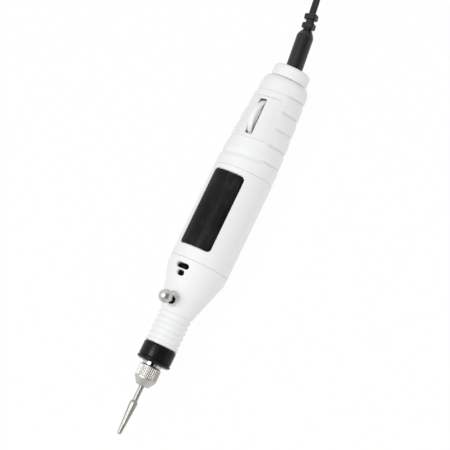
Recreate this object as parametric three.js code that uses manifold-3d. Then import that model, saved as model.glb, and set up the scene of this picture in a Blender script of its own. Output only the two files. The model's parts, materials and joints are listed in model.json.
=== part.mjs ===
// Electric engraving pen on its power lead, with the plug-in adapter at the lead's far end.
// The pen lies along X: the bit's tip points to -X and the lead leaves at +X. Lengths are in
// millimetres and +Z is up, the way that the thumb wheel, the plate and the lock knob face.
import * as THREE from "three";
import { mergeVertices } from "three/addons/utils/BufferGeometryUtils.js";
import Module from "manifold-3d";

const wasm = await Module();
wasm.setup();

// Clearances and facets that all pieces share
const SEAT_GAP = 0.3; // between pieces that lie against each other
const RUN_GAP = 0.15; // radial, between pieces that turn on each other
const OVERRUN = 2; // how far a cutting tool passes the faces that it cuts
const WELD_DISTANCE = 0.001; // points closer than this are one point
const BODY_SIDES = 32;
const MOTOR_SIDES = 24;
const BEARING_SIDES = 20;
const SHAFT_SIDES = 16;
const SMALL_SIDES = 12;
const BALL_SIDES = 6;
const ARC_STEPS = 6;
const CORNER_STEPS = 3;

// Engraving bit
const BIT_LENGTH = 44;
const BIT_REACH = 24.2; // the bit's tip to the nut's front face
const SHANK_RADIUS = 1.175;
const SHANK_CHAMFER = 0.3;
const BURR_LENGTH = 16.2;
const BURR_RADIUS = 1.87;
const BURR_TIP_RADIUS = 1;
const BURR_BACK_LENGTH = 1.1;

// Collet nut
const NUT_RADIUS = 5.1;
const NUT_FACE_RADIUS = 2.6;
const NUT_FACE_LENGTH = 1;
const NUT_CONE_LENGTH = 3.8;
const NUT_KNURL_LENGTH = 5.5;
const NUT_KNURL_DEPTH = 0.22;
const NUT_KNURL_MARGIN = 0.5;
const NUT_HOLE_RADIUS = 1.65;
const THREAD_RADIUS = 4;
const THREAD_PITCH = 0.75; // of the nut's thread, the advance for one turn
const KNURL_COLUMNS = 24;
const KNURL_ROWS = 6;

// Collet
const COLLET_BORE_GAP = 0.15;
const COLLET_FACE_RADIUS = 1.75;
const COLLET_HEAD_RADIUS = 3;
const COLLET_HEAD_LENGTH = 3.3;
const COLLET_BODY_RADIUS = 2.4;
const COLLET_LENGTH = 15.3;
const COLLET_SLOT_WIDTH = 0.5;
const COLLET_SLOT_LENGTH = 10;

// Spindle
const COLLAR_RADIUS = 4.7;
const COLLAR_SHOW = 1.9; // the nut's rear face to the nose cap's front
const COLLAR_DEPTH = 3.4; // how far the collar goes on inside the cap
const COLLAR_SLOT_WIDTH = 0.7;
const COLLAR_SLOT_DEPTH = 1;
const COLLAR_SLOT_TURN = 35; // degrees from the top
const SPINDLE_SHOULDER_RADIUS = 3.9;
const SPINDLE_TAIL_RADIUS = 2.5;
const SPINDLE_TAIL_LENGTH = 6.4;
const SHANK_WELL_LENGTH = 2.1; // the blind hole past the shank's end

// Bearings, 6 x 12 x 4 mm
const BEARING_BORE_RADIUS = 3.3;
const BEARING_RADIUS = 6;
const BEARING_WIDTH = 4;
const BALL_RADIUS = 0.75;
const BALL_CIRCLE_RADIUS = 4.7;
const RACE_SHOULDER = 0.5; // from the balls' circle to each ring
const BALL_COUNT = 7;
const RACE_STEPS = 2;
const BALL_GAP = 0.22;
const CAGE_THICKNESS = 0.5;
const CAGE_WIDTH = 0.9;
const CAGE_OFFSET = 0.6;
const CLIP_THICKNESS = 0.7;
const CLIP_RADIUS = 4;
const CLIP_OPENING = 2.6;

// Nose cap
const NOSE_CAP_LENGTH = 9.8;
const NOSE_CAP_FACE_RADIUS = 5.7;
const NOSE_CAP_CHAMFER = 1.7;
const NOSE_CAP_LIP = 0.3;
const NOSE_CAP_LIP_LENGTH = 0.7;
const NOSE_CAP_GROOVE_LENGTH = 0.6;
const NOSE_CAP_EDGE = 0.55;
const NOSE_CAP_FRONT_WALL = 3.2;
const NOSE_CAP_SIDE_WALL = 0.6;

// Nose housing: ribbed neck, cone and band
const NECK_WALL = 1.45; // over the bearing seats
const NECK_LENGTH = 16;
const RIB_PITCH = 2.62;
const RIB_COUNT = 6;
const RIB_DEPTH = 0.6;
const RIB_GROOVE_WIDTH = 1.6;
const FIRST_GROOVE = 2.3; // the neck's front shoulder to the middle of its first groove
const CONE_LENGTH = 21.5;
const CONE_ROUND_LENGTH = 1.6;
const CONE_ROUND_RISE = 0.1;
const CONE_WALL = 1.6;
const NOSE_BAND_LENGTH = 1.9;
const SEAM_STEP = 0.1;
const SPIGOT_LENGTH = 4.2;
const SPIGOT_WALL = 1.4;
const NECK_BORE_STEP = 0.8; // the shoulders that the bearings stand against
const REAR_WEB_LENGTH = 0.6;
const VENT_START = 15.1; // the cone's start to the front vent
const VENT_WIDTH = 2.6;
const VENT_RIB = 0.6;
const VENT_SPANS = [3.9, 6.6]; // across, front and rear

// Spindle lock
const LOCK_STATION = 19.8; // the neck's front shoulder to the pin
const LOCK_BALL_RADIUS = 3.15;
const LOCK_BALL_HEIGHT = 15.05; // above the spindle's axis
const LOCK_PIN_RADIUS = 1.2;
const LOCK_TRAVEL = 1.8;
const LOCK_PIN_CLEARANCE = 0.5; // the pin's end to the spindle while released
const LOCK_COLLAR_RADIUS = 1.8;
const LOCK_COLLAR_LENGTH = 0.6;
const LOCK_CUP_RADIUS = 2.6;
const LOCK_CUP_FLOOR = 0.6;
const LOCK_CUP_LENGTH = 5.1;
const LOCK_RING_LENGTH = 0.7;
const LOCK_RING_RADIUS = 2.35;
const LOCK_SPRING_WIRE = 0.18;
const LOCK_SPRING_TURNS = 4;
const DIMPLE_RADIUS = 3.9;
const DIMPLE_HEIGHT = 8.2; // of the dimple's floor above the spindle's axis

// Motor, a can of 24.4 x 30.8 mm
const MOTOR_RADIUS = 12.2;
const MOTOR_LENGTH = 30.8;
const MOTOR_WALL = 1;
const MOTOR_CLEARANCE = 0.4;
const MOTOR_SHAFT_RADIUS = 1.15;
const MOTOR_SHAFT_REACH = 8.4; // ahead of the can
const MOTOR_BUSH_RADIUS = 2.2;
const MOTOR_BUSH_LENGTH = 5;
const MOTOR_BUSH_REACH = 1.5;
const END_CAP_FLANGE = 1.6;
const END_CAP_SPIGOT = 2.2;
const MAGNET_THICKNESS = 2.3;
const MAGNET_LENGTH = 20;
const MAGNET_SPAN = 120; // degrees
const MAGNET_OFFSET = 4.4; // the can's front face to the magnets
const CORE_GAP = 0.5;
const CORE_LENGTH = 14;
const CORE_HUB_RADIUS = 2.6;
const CORE_STEM_WIDTH = 2.2;
const CORE_TIP_THICKNESS = 1.3;
const CORE_TIP_SPAN = 92; // degrees
const POLE_COUNT = 3;
const WINDING_THICKNESS = 1.5;
const COMMUTATOR_RADIUS = 2.4;
const COMMUTATOR_LENGTH = 4;
const COMMUTATOR_OFFSET = 2.6;
const BRUSH_SIZE = 2;
const BRUSH_REACH = 3.4;
const MOUNT_PLATE_THICKNESS = 2.2;
const MOUNT_PLATE_HOLE = 3.2;
const SCREW_CIRCLE_RADIUS = 8;
const SCREW_RADIUS = 1.3;
const SCREW_LENGTH = 5;
const SCREW_HEAD_RADIUS = 2.3;
const SCREW_HEAD_LENGTH = 1.3;
const COUPLING_RADIUS = 4.6;
const COUPLING_LENGTH = 11.6;

// Barrel and its plate
const BARREL_WALL = 1.4;
const BARREL_LENGTH = 46.2; // the nose seam to the middle of the slanted grip seam
const LABEL_OFFSET = 6.3; // the nose seam to the plate
const LABEL_LENGTH = 37.3;
const LABEL_WIDTH = 17; // straight across
const LABEL_CORNER = 1.8;
const LABEL_THICKNESS = 0.4;
const LABEL_SINK = 0.2; // the plate's face below the barrel's
const SEAM_SLANT = 1.7; // degrees, of the grip seam

// Grip
const GRIP_LENGTH = 47.4;
const GRIP_FRONT_DROP = 0.1; // below the barrel's surface
const GRIP_REAR_RADIUS = 11;
const GRIP_CROWN = 0.15;
const GRIP_WALL = 2.2;
const GRIP_END_LENGTH = 5.2;
const GRIP_END_RADIUS = 8.9;
const GRIP_SPIGOT_LENGTH = 4.5;
const GROOVE_COUNT = 5;
const GROOVE_START = 6.9; // the grip seam to the middle of the first groove
const GROOVE_PITCH = 8.12;
const GROOVE_WIDTH = 1.3;
const GROOVE_DEPTH = 0.6;
const GROOVE_SLANT = 6; // degrees, of the grip's grooves
const PLATEAU_RISE = 0.4; // of the smooth field round the wheel
const PLATEAU_EDGES = [44, 72]; // degrees from the top, where it begins to fall and ends
const PLATEAU_RAMP = 3;

// Wheel cover
const COVER_OFFSET = 15; // the grip seam to the cover
const COVER_LENGTH = 20.7;
const COVER_WIDTH = 16.8;
const COVER_CORNER = 0.8;
const COVER_THICKNESS = 1;
const COVER_SINK = 0.35;
const SLOT_WIDTH = 4.2;
const SLOT_SIDE_SHIFT = -0.35; // in Y
const SLOT_END_GAP = 0.9;
const SLOT_CORNER = 0.4;

// Thumb wheel, potentiometer and circuit board
const WHEEL_RADIUS = 9.6;
const WHEEL_THICKNESS = 2.5;
const WHEEL_HEIGHT = 5.9; // of its centre above the pen's axis
const WHEEL_SIDE_SHIFT = 0.2; // in Y
const WHEEL_TEETH = 36;
const WHEEL_TOOTH_DEPTH = 0.3;
const WHEEL_SHAFT_RADIUS = 1;
const POT_THICKNESS = 3;
const POT_BASE_LENGTH = 11;
const POT_TOP_RADIUS = 1.9;
const POT_SHOULDER = 4; // below the shaft
const BOARD_CLEARANCE = 1.5; // under the wheel
const BOARD_THICKNESS = 1.2;
const BOARD_LENGTH = 35;
const BOARD_START = 6.9; // the grip seam to the board
const WIRE_RADIUS = 0.55;

// Rear cap, power socket and plug
const REAR_CAP_LENGTH = 6.3;
const REAR_CAP_RADIUS = 8.7;
const REAR_CAP_ROUND = 1.5;
const REAR_CAP_SPIGOT_RADIUS = 6.9;
const REAR_CAP_SPIGOT_LENGTH = 3.9;
const REAR_CAP_END_WALL = 1.6;
const SOCKET_RADIUS = 4.9;
const SOCKET_LENGTH = 11.1;
const SOCKET_DEPTH = 9.2;
const PLUG_BARREL_RADIUS = 2.75;
const PLUG_BARREL_BORE = 1.3;
const PLUG_ROOT_DEPTH = 2.5;
const SOCKET_PIN_RADIUS = 1;
const SOCKET_PIN_SETBACK = 1.6;
const SOCKET_LUG_LENGTH = 1.6;
const PLUG_CAP_GAP = 0.7; // the rear cap to the plug's moulded body
const PLUG_RADIUS = 3.95;
const PLUG_EDGE = 0.35;
const PLUG_BODY_LENGTH = 14;
const PLUG_SHOULDER_LENGTH = 3.4;
const PLUG_NECK_WIDTH = 4;
const PLUG_NECK_HEIGHT = 3;
const RELIEF_RIB_WIDTH = 5.9;
const RELIEF_RIB_HEIGHT = 4.6;
const RELIEF_RIB_LENGTH = 2.6;
const RELIEF_GAP_LENGTH = 1.3;
const RELIEF_RIB_COUNT = 2;
const PLUG_SIDE_SHIFT = 0.35; // in Y, the moulded body beside the contact barrel
const PLUG_LEAN = 7.8; // degrees towards +Y
const PLUG_LEAN_LENGTH = 2; // over which the lean builds up
const RELIEF_BEND = 7; // degrees more, over the ribs

// Lead: a flat cord of two conductors
const CORD_WIDTH = 3.2;
const CORD_THICKNESS = 1.7;
const CORD_STEP = 5;
const CORD_SECTION_SHARES = [
  [1, 0],
  [0.5, 1],
  [-0.5, 1],
  [-1, 0],
  [-0.5, -1],
  [0.5, -1],
];
const LEAD_POINTS = [
  [118.15, 4.18, 14],
  [122, 5.25, 13.9],
  [126.5, 6.7, 13.15],
  [131, 8.3, 11.6],
  [136, 10.6, 9],
  [141, 12.1, 6.2],
  [146, 13.3, 3.9],
  [151, 14.2, 2.5],
  [156, 14.9, 1.9],
  [161, 15.3, 1.75],
  [165.7, 15.5, 1.75],
];
const TAIL_POINTS = [
  [166.3, 15.5, 9.25],
  [171, 15.3, 9],
  [176, 14.2, 7.6],
  [181, 12, 5.2],
  [185.8, 8.9, 3.2],
  [189.5, 5.8, 2.15],
  [193, 2.8, 2.4],
  [196.6, 0.3, 4],
  [200.3, -1.6, 6.2],
  [204.2, -2.75, 8.1],
  [208.2, -3, 9],
];

// Coil of the lead: loops that spiral in and out, layer on layer, on one unbroken cord
const COIL_RADIUS = 19.15; // at the middle of the turns
const COIL_LAYERS = 4;
const COIL_LAYER_TURNS = 2.25;
const COIL_PITCH = 4.25;
const COIL_LAYER_STEP = 2.5;
const COIL_LIFT = 0.9; // of the lowest loops, for the tie under them
const COIL_CLIMB_TURNS = 0.3;
const COIL_LOOP_STEPS = 18;
const TIE_THICKNESS = 0.6;
const TIE_WIDTH = 6;
const TIE_TURN = -90; // degrees round the coil

// Wall adapter on its back, blades up
const ADAPTER_START = 220; // its case's front end along X
const ADAPTER_ACROSS = -3; // its middle along Y
const ADAPTER_LENGTH = 60;
const ADAPTER_WIDTH = 40;
const ADAPTER_DEPTH = 28;
const ADAPTER_BACK_DEPTH = 9;
const ADAPTER_CORNER = 5;
const ADAPTER_BEVEL = 1.4;
const ADAPTER_RELIEF_LENGTH = 11.2;
const ADAPTER_RELIEF_WIDTH = 7;
const ADAPTER_RELIEF_HEIGHT = 6;
const ADAPTER_RELIEF_END_WIDTH = 4.6;
const ADAPTER_RELIEF_END_HEIGHT = 3.2;
const BLADE_WIDTH = 6.3;
const BLADE_THICKNESS = 1.5;
const BLADE_LENGTH = 16;
const BLADE_ROOT = 3;
const BLADE_SPACING = 12.7;
const BLADE_CHAMFER = 1.2;
const BLADE_END_DISTANCE = 20; // from the case's far end

// Radii that follow from what the shells hold
const barrelBore = MOTOR_RADIUS + MOTOR_CLEARANCE;
const barrelRadius = barrelBore + BARREL_WALL;
const bearingSeat = BEARING_RADIUS + SEAT_GAP;
const neckRadius = bearingSeat + NECK_WALL;
const journalRadius = BEARING_BORE_RADIUS - SEAT_GAP;
const spigotRadius = barrelBore - SEAT_GAP;

// Stations along the pen, counted from the bit's tip
const nutFront = BIT_REACH;
const nutShoulder = nutFront + NUT_CONE_LENGTH;
const nutRear = nutShoulder + NUT_KNURL_LENGTH;
const capFront = nutRear + COLLAR_SHOW;
const neckFront = capFront + NOSE_CAP_LENGTH;
const coneStart = neckFront + NECK_LENGTH;
const coneEnd = coneStart + CONE_LENGTH;
const noseSeam = coneEnd + NOSE_BAND_LENGTH;
const gripSeam = noseSeam + BARREL_LENGTH;
const gripRear = gripSeam + GRIP_LENGTH;
const penLength = gripRear + REAR_CAP_LENGTH;
const colletFront = nutFront + NUT_FACE_LENGTH + SEAT_GAP;
const frontBearing = neckFront + FIRST_GROOVE;
const rearBearing = neckFront + LOCK_STATION + LOCK_CUP_RADIUS + SEAT_GAP + NECK_BORE_STEP * 2;
const lockStation = neckFront + LOCK_STATION;
const mountPlateFront = noseSeam + SPIGOT_LENGTH + SEAT_GAP;
const motorFront = mountPlateFront + MOUNT_PLATE_THICKNESS + SEAT_GAP;
const motorRear = motorFront + MOTOR_LENGTH;
const wheelStation = gripSeam + COVER_OFFSET + COVER_LENGTH / 2;

const slant = Math.tan(THREE.MathUtils.degToRad(GROOVE_SLANT));
const seamShare = Math.tan(THREE.MathUtils.degToRad(SEAM_SLANT)) / slant;
const smooth = THREE.MathUtils.smoothstep;
const mix = THREE.MathUtils.lerp;
const radians = THREE.MathUtils.degToRad;

// Makes a closed solid of a geometry: welds its points, drops faces that have no area, and
// turns it the right way out.
function solid(geometry) {
  const loose = geometry.index ? geometry.toNonIndexed() : geometry;
  loose.deleteAttribute("normal");
  loose.deleteAttribute("uv");
  const welded = mergeVertices(loose, WELD_DISTANCE);
  const corners = welded.index.array;
  const kept = [];
  for (let i = 0; i < corners.length; i += 3) {
    const [a, b, c] = corners.slice(i, i + 3);
    if (a !== b && b !== c && c !== a) kept.push(a, b, c);
  }
  const vertProperties = new Float32Array(welded.attributes.position.array);
  const make = (list) =>
    new wasm.Manifold(
      new wasm.Mesh({ numProp: 3, vertProperties, triVerts: new Uint32Array(list) }),
    );
  const made = make(kept);
  return made.volume() < 0 ? make(kept.reverse()) : made;
}

// A solid turned about X from corners given as [station, radius].
function revolve(corners, sides) {
  const points = corners.map(([station, radius]) => new THREE.Vector2(radius, station));
  points.push(points[0].clone());
  return solid(new THREE.LatheGeometry(points, sides).rotateZ(-Math.PI / 2));
}

// A disc or ring about X.
function ring(start, end, outer, inner, sides) {
  const hole = inner > 0 ? [[end, inner], [start, inner]] : [[end, 0], [start, 0]];
  return revolve([[start, outer], [end, outer], ...hole], sides);
}

// A round post that stands along Z at (x, y).
function upright(x, y, radius, low, high, sides) {
  const post = new THREE.CylinderGeometry(radius, radius, high - low, sides);
  return solid(post.rotateX(Math.PI / 2).translate(x, y, (low + high) / 2));
}

// A round post that lies along Y at (x, z).
function crosswise(x, z, radius, near, far, sides) {
  const post = new THREE.CylinderGeometry(radius, radius, far - near, sides);
  return solid(post.translate(x, (near + far) / 2, z));
}

function box(low, high) {
  const size = high.map((value, i) => value - low[i]);
  const middle = high.map((value, i) => (value + low[i]) / 2);
  return solid(new THREE.BoxGeometry(...size).translate(...middle));
}

// A rectangle with round corners, centred on the origin.
function roundedRectangle(length, width, corner) {
  const shape = new THREE.Shape();
  const x = length / 2 - corner;
  const y = width / 2 - corner;
  shape.absarc(x, y, corner, 0, Math.PI / 2);
  shape.absarc(-x, y, corner, Math.PI / 2, Math.PI);
  shape.absarc(-x, -y, corner, Math.PI, Math.PI * 1.5);
  shape.absarc(x, -y, corner, Math.PI * 1.5, Math.PI * 2);
  return shape;
}

// A flat outline raised from one height to another, with its centre at (x, y).
function raised(shape, x, y, low, high) {
  const settings = { depth: high - low, bevelEnabled: false, curveSegments: CORNER_STEPS };
  return solid(new THREE.ExtrudeGeometry(shape, settings).translate(x, y, low));
}

// A body that follows closed rings of points: each ring has the same count, and the caps
// at both ends are fans round the ends' middles.
function loft(rings) {
  const count = rings[0].length;
  const places = [];
  const quads = [];
  rings.forEach((points) => points.forEach((p) => places.push(p.x, p.y, p.z)));
  for (let i = 0; i + 1 < rings.length; i++) {
    for (let j = 0; j < count; j++) {
      const next = (j + 1) % count;
      const a = i * count + j;
      const b = i * count + next;
      quads.push(a, b, b + count, a, b + count, a + count);
    }
  }
  [0, rings.length - 1].forEach((end) => {
    const middle = new THREE.Vector3();
    rings[end].forEach((p) => middle.addScaledVector(p, 1 / count));
    places.push(middle.x, middle.y, middle.z);
    const hub = places.length / 3 - 1;
    for (let j = 0; j < count; j++) {
      const a = end * count + j;
      const b = end * count + ((j + 1) % count);
      quads.push(...(end === 0 ? [hub, b, a] : [hub, a, b]));
    }
  });
  const geometry = new THREE.BufferGeometry();
  geometry.setAttribute("position", new THREE.Float32BufferAttribute(places, 3));
  geometry.setIndex(quads);
  return solid(geometry);
}

// A round section, as shares of half its width and half its height.
function roundShares(sides) {
  const reach = 1 / Math.cos(Math.PI / sides);
  return Array.from({ length: sides }, (_, j) => {
    const turn = ((j + 0.5) / sides) * Math.PI * 2;
    return [reach * Math.cos(turn), reach * Math.sin(turn)];
  });
}

// A ring of points at a place: a section across the way that something runs, kept level.
function levelRing(place, along, width, height, shares) {
  const side = new THREE.Vector3(0, 0, 1).cross(along).normalize();
  const up = along.clone().cross(side).normalize();
  return shares.map(([across, above]) =>
    place
      .clone()
      .addScaledVector(side, (across * width) / 2)
      .addScaledVector(up, (above * height) / 2),
  );
}

// Finishes
const FINISHES = {
  white: { color: 0xf1f2f3, roughness: 0.32, metalness: 0 },
  black: { color: 0x0b0b0c, roughness: 0.28, metalness: 0 },
  glossBlack: { color: 0x050506, roughness: 0.12, metalness: 0 },
  nickel: { color: 0xb9b4aa, roughness: 0.28, metalness: 1 },
  steel: { color: 0x9c9b97, roughness: 0.3, metalness: 1 },
  brass: { color: 0xc9a45a, roughness: 0.35, metalness: 1 },
  zinc: { color: 0xa9adb0, roughness: 0.4, metalness: 1 },
  copper: { color: 0xb4623a, roughness: 0.4, metalness: 1 },
  ferrite: { color: 0x2b2a2a, roughness: 0.7, metalness: 0 },
  carbon: { color: 0x1c1c1d, roughness: 0.6, metalness: 0 },
  cream: { color: 0xd9d2bd, roughness: 0.5, metalness: 0 },
  board: { color: 0x2c6b3a, roughness: 0.5, metalness: 0 },
  redWire: { color: 0xa81d1a, roughness: 0.5, metalness: 0 },
  charcoal: { color: 0x1b1b1c, roughness: 0.55, metalness: 0 },
};

// A named mesh of a solid, with a material of its own.
function piece(name, made, finish) {
  const { vertProperties, triVerts } = made.getMesh();
  const geometry = new THREE.BufferGeometry();
  geometry.setAttribute("position", new THREE.Float32BufferAttribute(vertProperties, 3));
  geometry.setIndex(Array.from(triVerts));
  const sharp = geometry.toNonIndexed();
  sharp.computeVertexNormals();
  const mesh = new THREE.Mesh(sharp, new THREE.MeshStandardMaterial(FINISHES[finish]));
  mesh.name = name;
  return mesh;
}

// Bit: a tapered burr with a round tip, on a straight shank
function engravingBit() {
  const tip = Array.from({ length: CORNER_STEPS }, (_, i) => {
    const turn = ((i + 1) / CORNER_STEPS) * (Math.PI / 2);
    return [BURR_TIP_RADIUS * (1 - Math.cos(turn)), BURR_TIP_RADIUS * Math.sin(turn)];
  });
  const corners = [
    [0, 0],
    ...tip,
    [BURR_LENGTH, BURR_RADIUS],
    [BURR_LENGTH + BURR_BACK_LENGTH, SHANK_RADIUS],
    [BIT_LENGTH - SHANK_CHAMFER, SHANK_RADIUS],
    [BIT_LENGTH, SHANK_RADIUS - SHANK_CHAMFER],
    [BIT_LENGTH, 0],
  ];
  return piece("engraving_bit", revolve(corners, SHAFT_SIDES), "steel");
}

// Nut: a cone, then a diamond knurl whose points stand out in alternate columns and rows
function colletNut() {
  const start = nutShoulder + NUT_KNURL_MARGIN;
  const end = nutRear - NUT_KNURL_MARGIN;
  const columns = KNURL_COLUMNS * 2;
  const circle = (station, radiusAt) =>
    Array.from({ length: columns }, (_, j) => {
      const turn = (j / columns) * Math.PI * 2;
      const radius = radiusAt(j);
      return new THREE.Vector3(station, radius * Math.sin(turn), radius * Math.cos(turn));
    });
  const even = (radius) => () => radius;
  const rings = [
    circle(nutFront, even(NUT_FACE_RADIUS)),
    circle(nutShoulder, even(NUT_RADIUS)),
  ];
  for (let i = 0; i <= KNURL_ROWS; i++) {
    const station = mix(start, end, i / KNURL_ROWS);
    rings.push(circle(station, (j) => NUT_RADIUS - ((i + j) % 2) * NUT_KNURL_DEPTH));
  }
  rings.push(circle(nutRear, even(NUT_RADIUS - NUT_KNURL_DEPTH)));
  const inside = revolve(
    [
      [nutFront - OVERRUN, 0],
      [nutFront - OVERRUN, NUT_HOLE_RADIUS],
      [nutFront + NUT_FACE_LENGTH, NUT_HOLE_RADIUS],
      [colletFront, COLLET_FACE_RADIUS + SEAT_GAP],
      [colletFront + COLLET_HEAD_LENGTH, COLLET_HEAD_RADIUS + SEAT_GAP],
      [colletFront + COLLET_HEAD_LENGTH, THREAD_RADIUS + SEAT_GAP],
      [nutRear + OVERRUN, THREAD_RADIUS + SEAT_GAP],
      [nutRear + OVERRUN, 0],
    ],
    SHAFT_SIDES,
  );
  return piece("collet_nut", loft(rings).subtract(inside), "nickel");
}

// Collet: a tapered head on a straight body, bored for the shank and slit crosswise
function collet() {
  const rear = colletFront + COLLET_LENGTH;
  const headEnd = colletFront + COLLET_HEAD_LENGTH;
  const neck = headEnd + COLLET_HEAD_RADIUS - COLLET_BODY_RADIUS;
  const bore = SHANK_RADIUS + COLLET_BORE_GAP;
  let made = revolve(
    [
      [colletFront, bore],
      [colletFront, COLLET_FACE_RADIUS],
      [headEnd, COLLET_HEAD_RADIUS],
      [neck, COLLET_BODY_RADIUS],
      [rear, COLLET_BODY_RADIUS],
      [rear, bore],
    ],
    SHAFT_SIDES,
  );
  const reach = COLLET_HEAD_RADIUS + OVERRUN;
  const half = COLLET_SLOT_WIDTH / 2;
  const front = colletFront - OVERRUN;
  const end = colletFront + COLLET_SLOT_LENGTH;
  made = made.subtract(box([front, -reach, -half], [end, reach, half]));
  made = made.subtract(box([front, -half, -reach], [end, half, reach]));
  return piece("collet", made, "brass");
}

// Spindle: a hollow threaded nose, the collar, the bearing journal and the tail
function spindle() {
  const nose = colletFront + COLLET_HEAD_LENGTH + SEAT_GAP;
  const mouth = COLLET_HEAD_RADIUS + SEAT_GAP;
  const well = COLLET_BODY_RADIUS + SEAT_GAP;
  const wellEnd = colletFront + COLLET_LENGTH + SEAT_GAP;
  const shank = SHANK_RADIUS + SEAT_GAP;
  const holeEnd = Math.max(wellEnd, BIT_LENGTH) + SHANK_WELL_LENGTH;
  const collarFront = nutRear + SEAT_GAP;
  const collarRear = capFront + COLLAR_DEPTH;
  const shoulder = frontBearing - SEAT_GAP;
  const journalEnd = rearBearing + BEARING_WIDTH + SEAT_GAP;
  let made = revolve(
    [
      [nose, mouth],
      [nose, THREAD_RADIUS],
      [collarFront, THREAD_RADIUS],
      [collarFront, COLLAR_RADIUS],
      [collarRear, COLLAR_RADIUS],
      [collarRear, SPINDLE_SHOULDER_RADIUS],
      [shoulder, SPINDLE_SHOULDER_RADIUS],
      [shoulder, journalRadius],
      [journalEnd, journalRadius],
      [journalEnd, SPINDLE_TAIL_RADIUS],
      [journalEnd + SPINDLE_TAIL_LENGTH, SPINDLE_TAIL_RADIUS],
      [journalEnd + SPINDLE_TAIL_LENGTH, 0],
      [holeEnd, 0],
      [holeEnd, shank],
      [wellEnd, shank],
      [wellEnd, well],
      [nose + mouth - well, well],
    ],
    SHAFT_SIDES,
  );
  const pinHole = LOCK_PIN_RADIUS + SEAT_GAP;
  const reach = journalRadius + OVERRUN;
  made = made.subtract(upright(lockStation, 0, pinHole, -reach, reach, SMALL_SIDES));
  const low = COLLAR_RADIUS - COLLAR_SLOT_DEPTH;
  const high = COLLAR_RADIUS + OVERRUN;
  const half = COLLAR_SLOT_WIDTH / 2;
  [0, 1].forEach((side) => {
    const slot = box([collarFront - SEAT_GAP, -half, low], [capFront, half, high]);
    made = made.subtract(slot.rotate([COLLAR_SLOT_TURN + side * 180, 0, 0]));
  });
  return piece("spindle", made, "nickel");
}

// A bearing at a station: both rings with their race, and the balls in their cage
function bearing(name, start) {
  const middle = start + BEARING_WIDTH / 2;
  const end = start + BEARING_WIDTH;
  const track = BALL_RADIUS + BALL_GAP;
  const trackHalf = Math.acos(RACE_SHOULDER / track);
  const race = (side) =>
    Array.from({ length: RACE_STEPS + 1 }, (_, i) => {
      const turn = trackHalf * ((2 * i) / RACE_STEPS - 1);
      const radius = BALL_CIRCLE_RADIUS + side * track * Math.cos(turn);
      return [middle + track * Math.sin(turn), radius];
    });
  const innerShoulder = BALL_CIRCLE_RADIUS - RACE_SHOULDER;
  const outerShoulder = BALL_CIRCLE_RADIUS + RACE_SHOULDER;
  const inner = revolve(
    [
      [end, BEARING_BORE_RADIUS],
      [start, BEARING_BORE_RADIUS],
      [start, innerShoulder],
      ...race(-1),
      [end, innerShoulder],
    ],
    BEARING_SIDES,
  );
  const outer = revolve(
    [
      [end, BEARING_RADIUS],
      [start, BEARING_RADIUS],
      [start, outerShoulder],
      ...race(1),
      [end, outerShoulder],
    ],
    BEARING_SIDES,
  );
  const cageStart = middle + CAGE_OFFSET;
  const cageRadius = BALL_CIRCLE_RADIUS - CAGE_THICKNESS / 2;
  let cage = ring(
    cageStart,
    cageStart + CAGE_WIDTH,
    cageRadius + CAGE_THICKNESS,
    cageRadius,
    BALL_COUNT * 2,
  );
  for (let i = 0; i < BALL_COUNT; i++) {
    const turn = (i / BALL_COUNT) * Math.PI * 2;
    const ball = new THREE.SphereGeometry(BALL_RADIUS, BALL_SIDES, BALL_SIDES - 2);
    const y = BALL_CIRCLE_RADIUS * Math.sin(turn);
    const z = BALL_CIRCLE_RADIUS * Math.cos(turn);
    cage = cage.add(solid(ball.translate(middle, y, z)));
  }
  return [
    piece(name + "_bearing_outer_ring", outer, "steel"),
    piece(name + "_bearing_inner_ring", inner, "steel"),
    piece(name + "_bearing_balls", cage, "steel"),
  ];
}

// A split ring on the spindle's tail that keeps the rear bearing in place
function retainerClip() {
  const start = rearBearing + BEARING_WIDTH + SEAT_GAP * 2;
  const end = start + CLIP_THICKNESS;
  const half = CLIP_OPENING / 2;
  const made = ring(start, end, CLIP_RADIUS, SPINDLE_TAIL_RADIUS + SEAT_GAP, SHAFT_SIDES);
  const opening = box([start - OVERRUN, -half, -CLIP_RADIUS - OVERRUN], [end + OVERRUN, half, 0]);
  return piece("spindle_retainer_clip", made.subtract(opening), "steel");
}

// Nose cap: a screw cap with a chamfered face and a small lip
function noseCap() {
  const rear = neckFront - SEAT_GAP;
  const bore = COLLAR_RADIUS + SEAT_GAP;
  const lipRadius = neckRadius + NOSE_CAP_LIP;
  const chamferEnd = capFront + NOSE_CAP_CHAMFER;
  const lipEnd = chamferEnd + NOSE_CAP_LIP_LENGTH;
  const grooveEnd = lipEnd + NOSE_CAP_GROOVE_LENGTH;
  const inside = neckRadius - NOSE_CAP_SIDE_WALL;
  const step = capFront + NOSE_CAP_FRONT_WALL;
  const bendShare = 0.35; // of the chamfer, where it turns rounder
  const bendRiseShare = 0.6;
  const grooveShare = 0.4; // of the groove, its deepest place
  const made = revolve(
    [
      [capFront, bore],
      [capFront, NOSE_CAP_FACE_RADIUS],
      [mix(capFront, chamferEnd, bendShare), mix(NOSE_CAP_FACE_RADIUS, lipRadius, bendRiseShare)],
      [chamferEnd, lipRadius],
      [lipEnd, lipRadius],
      [mix(lipEnd, grooveEnd, grooveShare), neckRadius - NOSE_CAP_LIP],
      [grooveEnd, neckRadius],
      [rear - NOSE_CAP_EDGE, neckRadius],
      [rear, neckRadius - NOSE_CAP_EDGE],
      [rear, inside],
      [step, inside],
      [step, bore],
    ],
    BODY_SIDES,
  );
  return piece("nose_cap", made, "black");
}

// The cone's radius at a station
function coneRadius(station) {
  const share = (station - coneStart) / (CONE_LENGTH - CONE_ROUND_LENGTH);
  return mix(neckRadius, barrelRadius - SEAM_STEP - CONE_ROUND_RISE, share);
}

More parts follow.
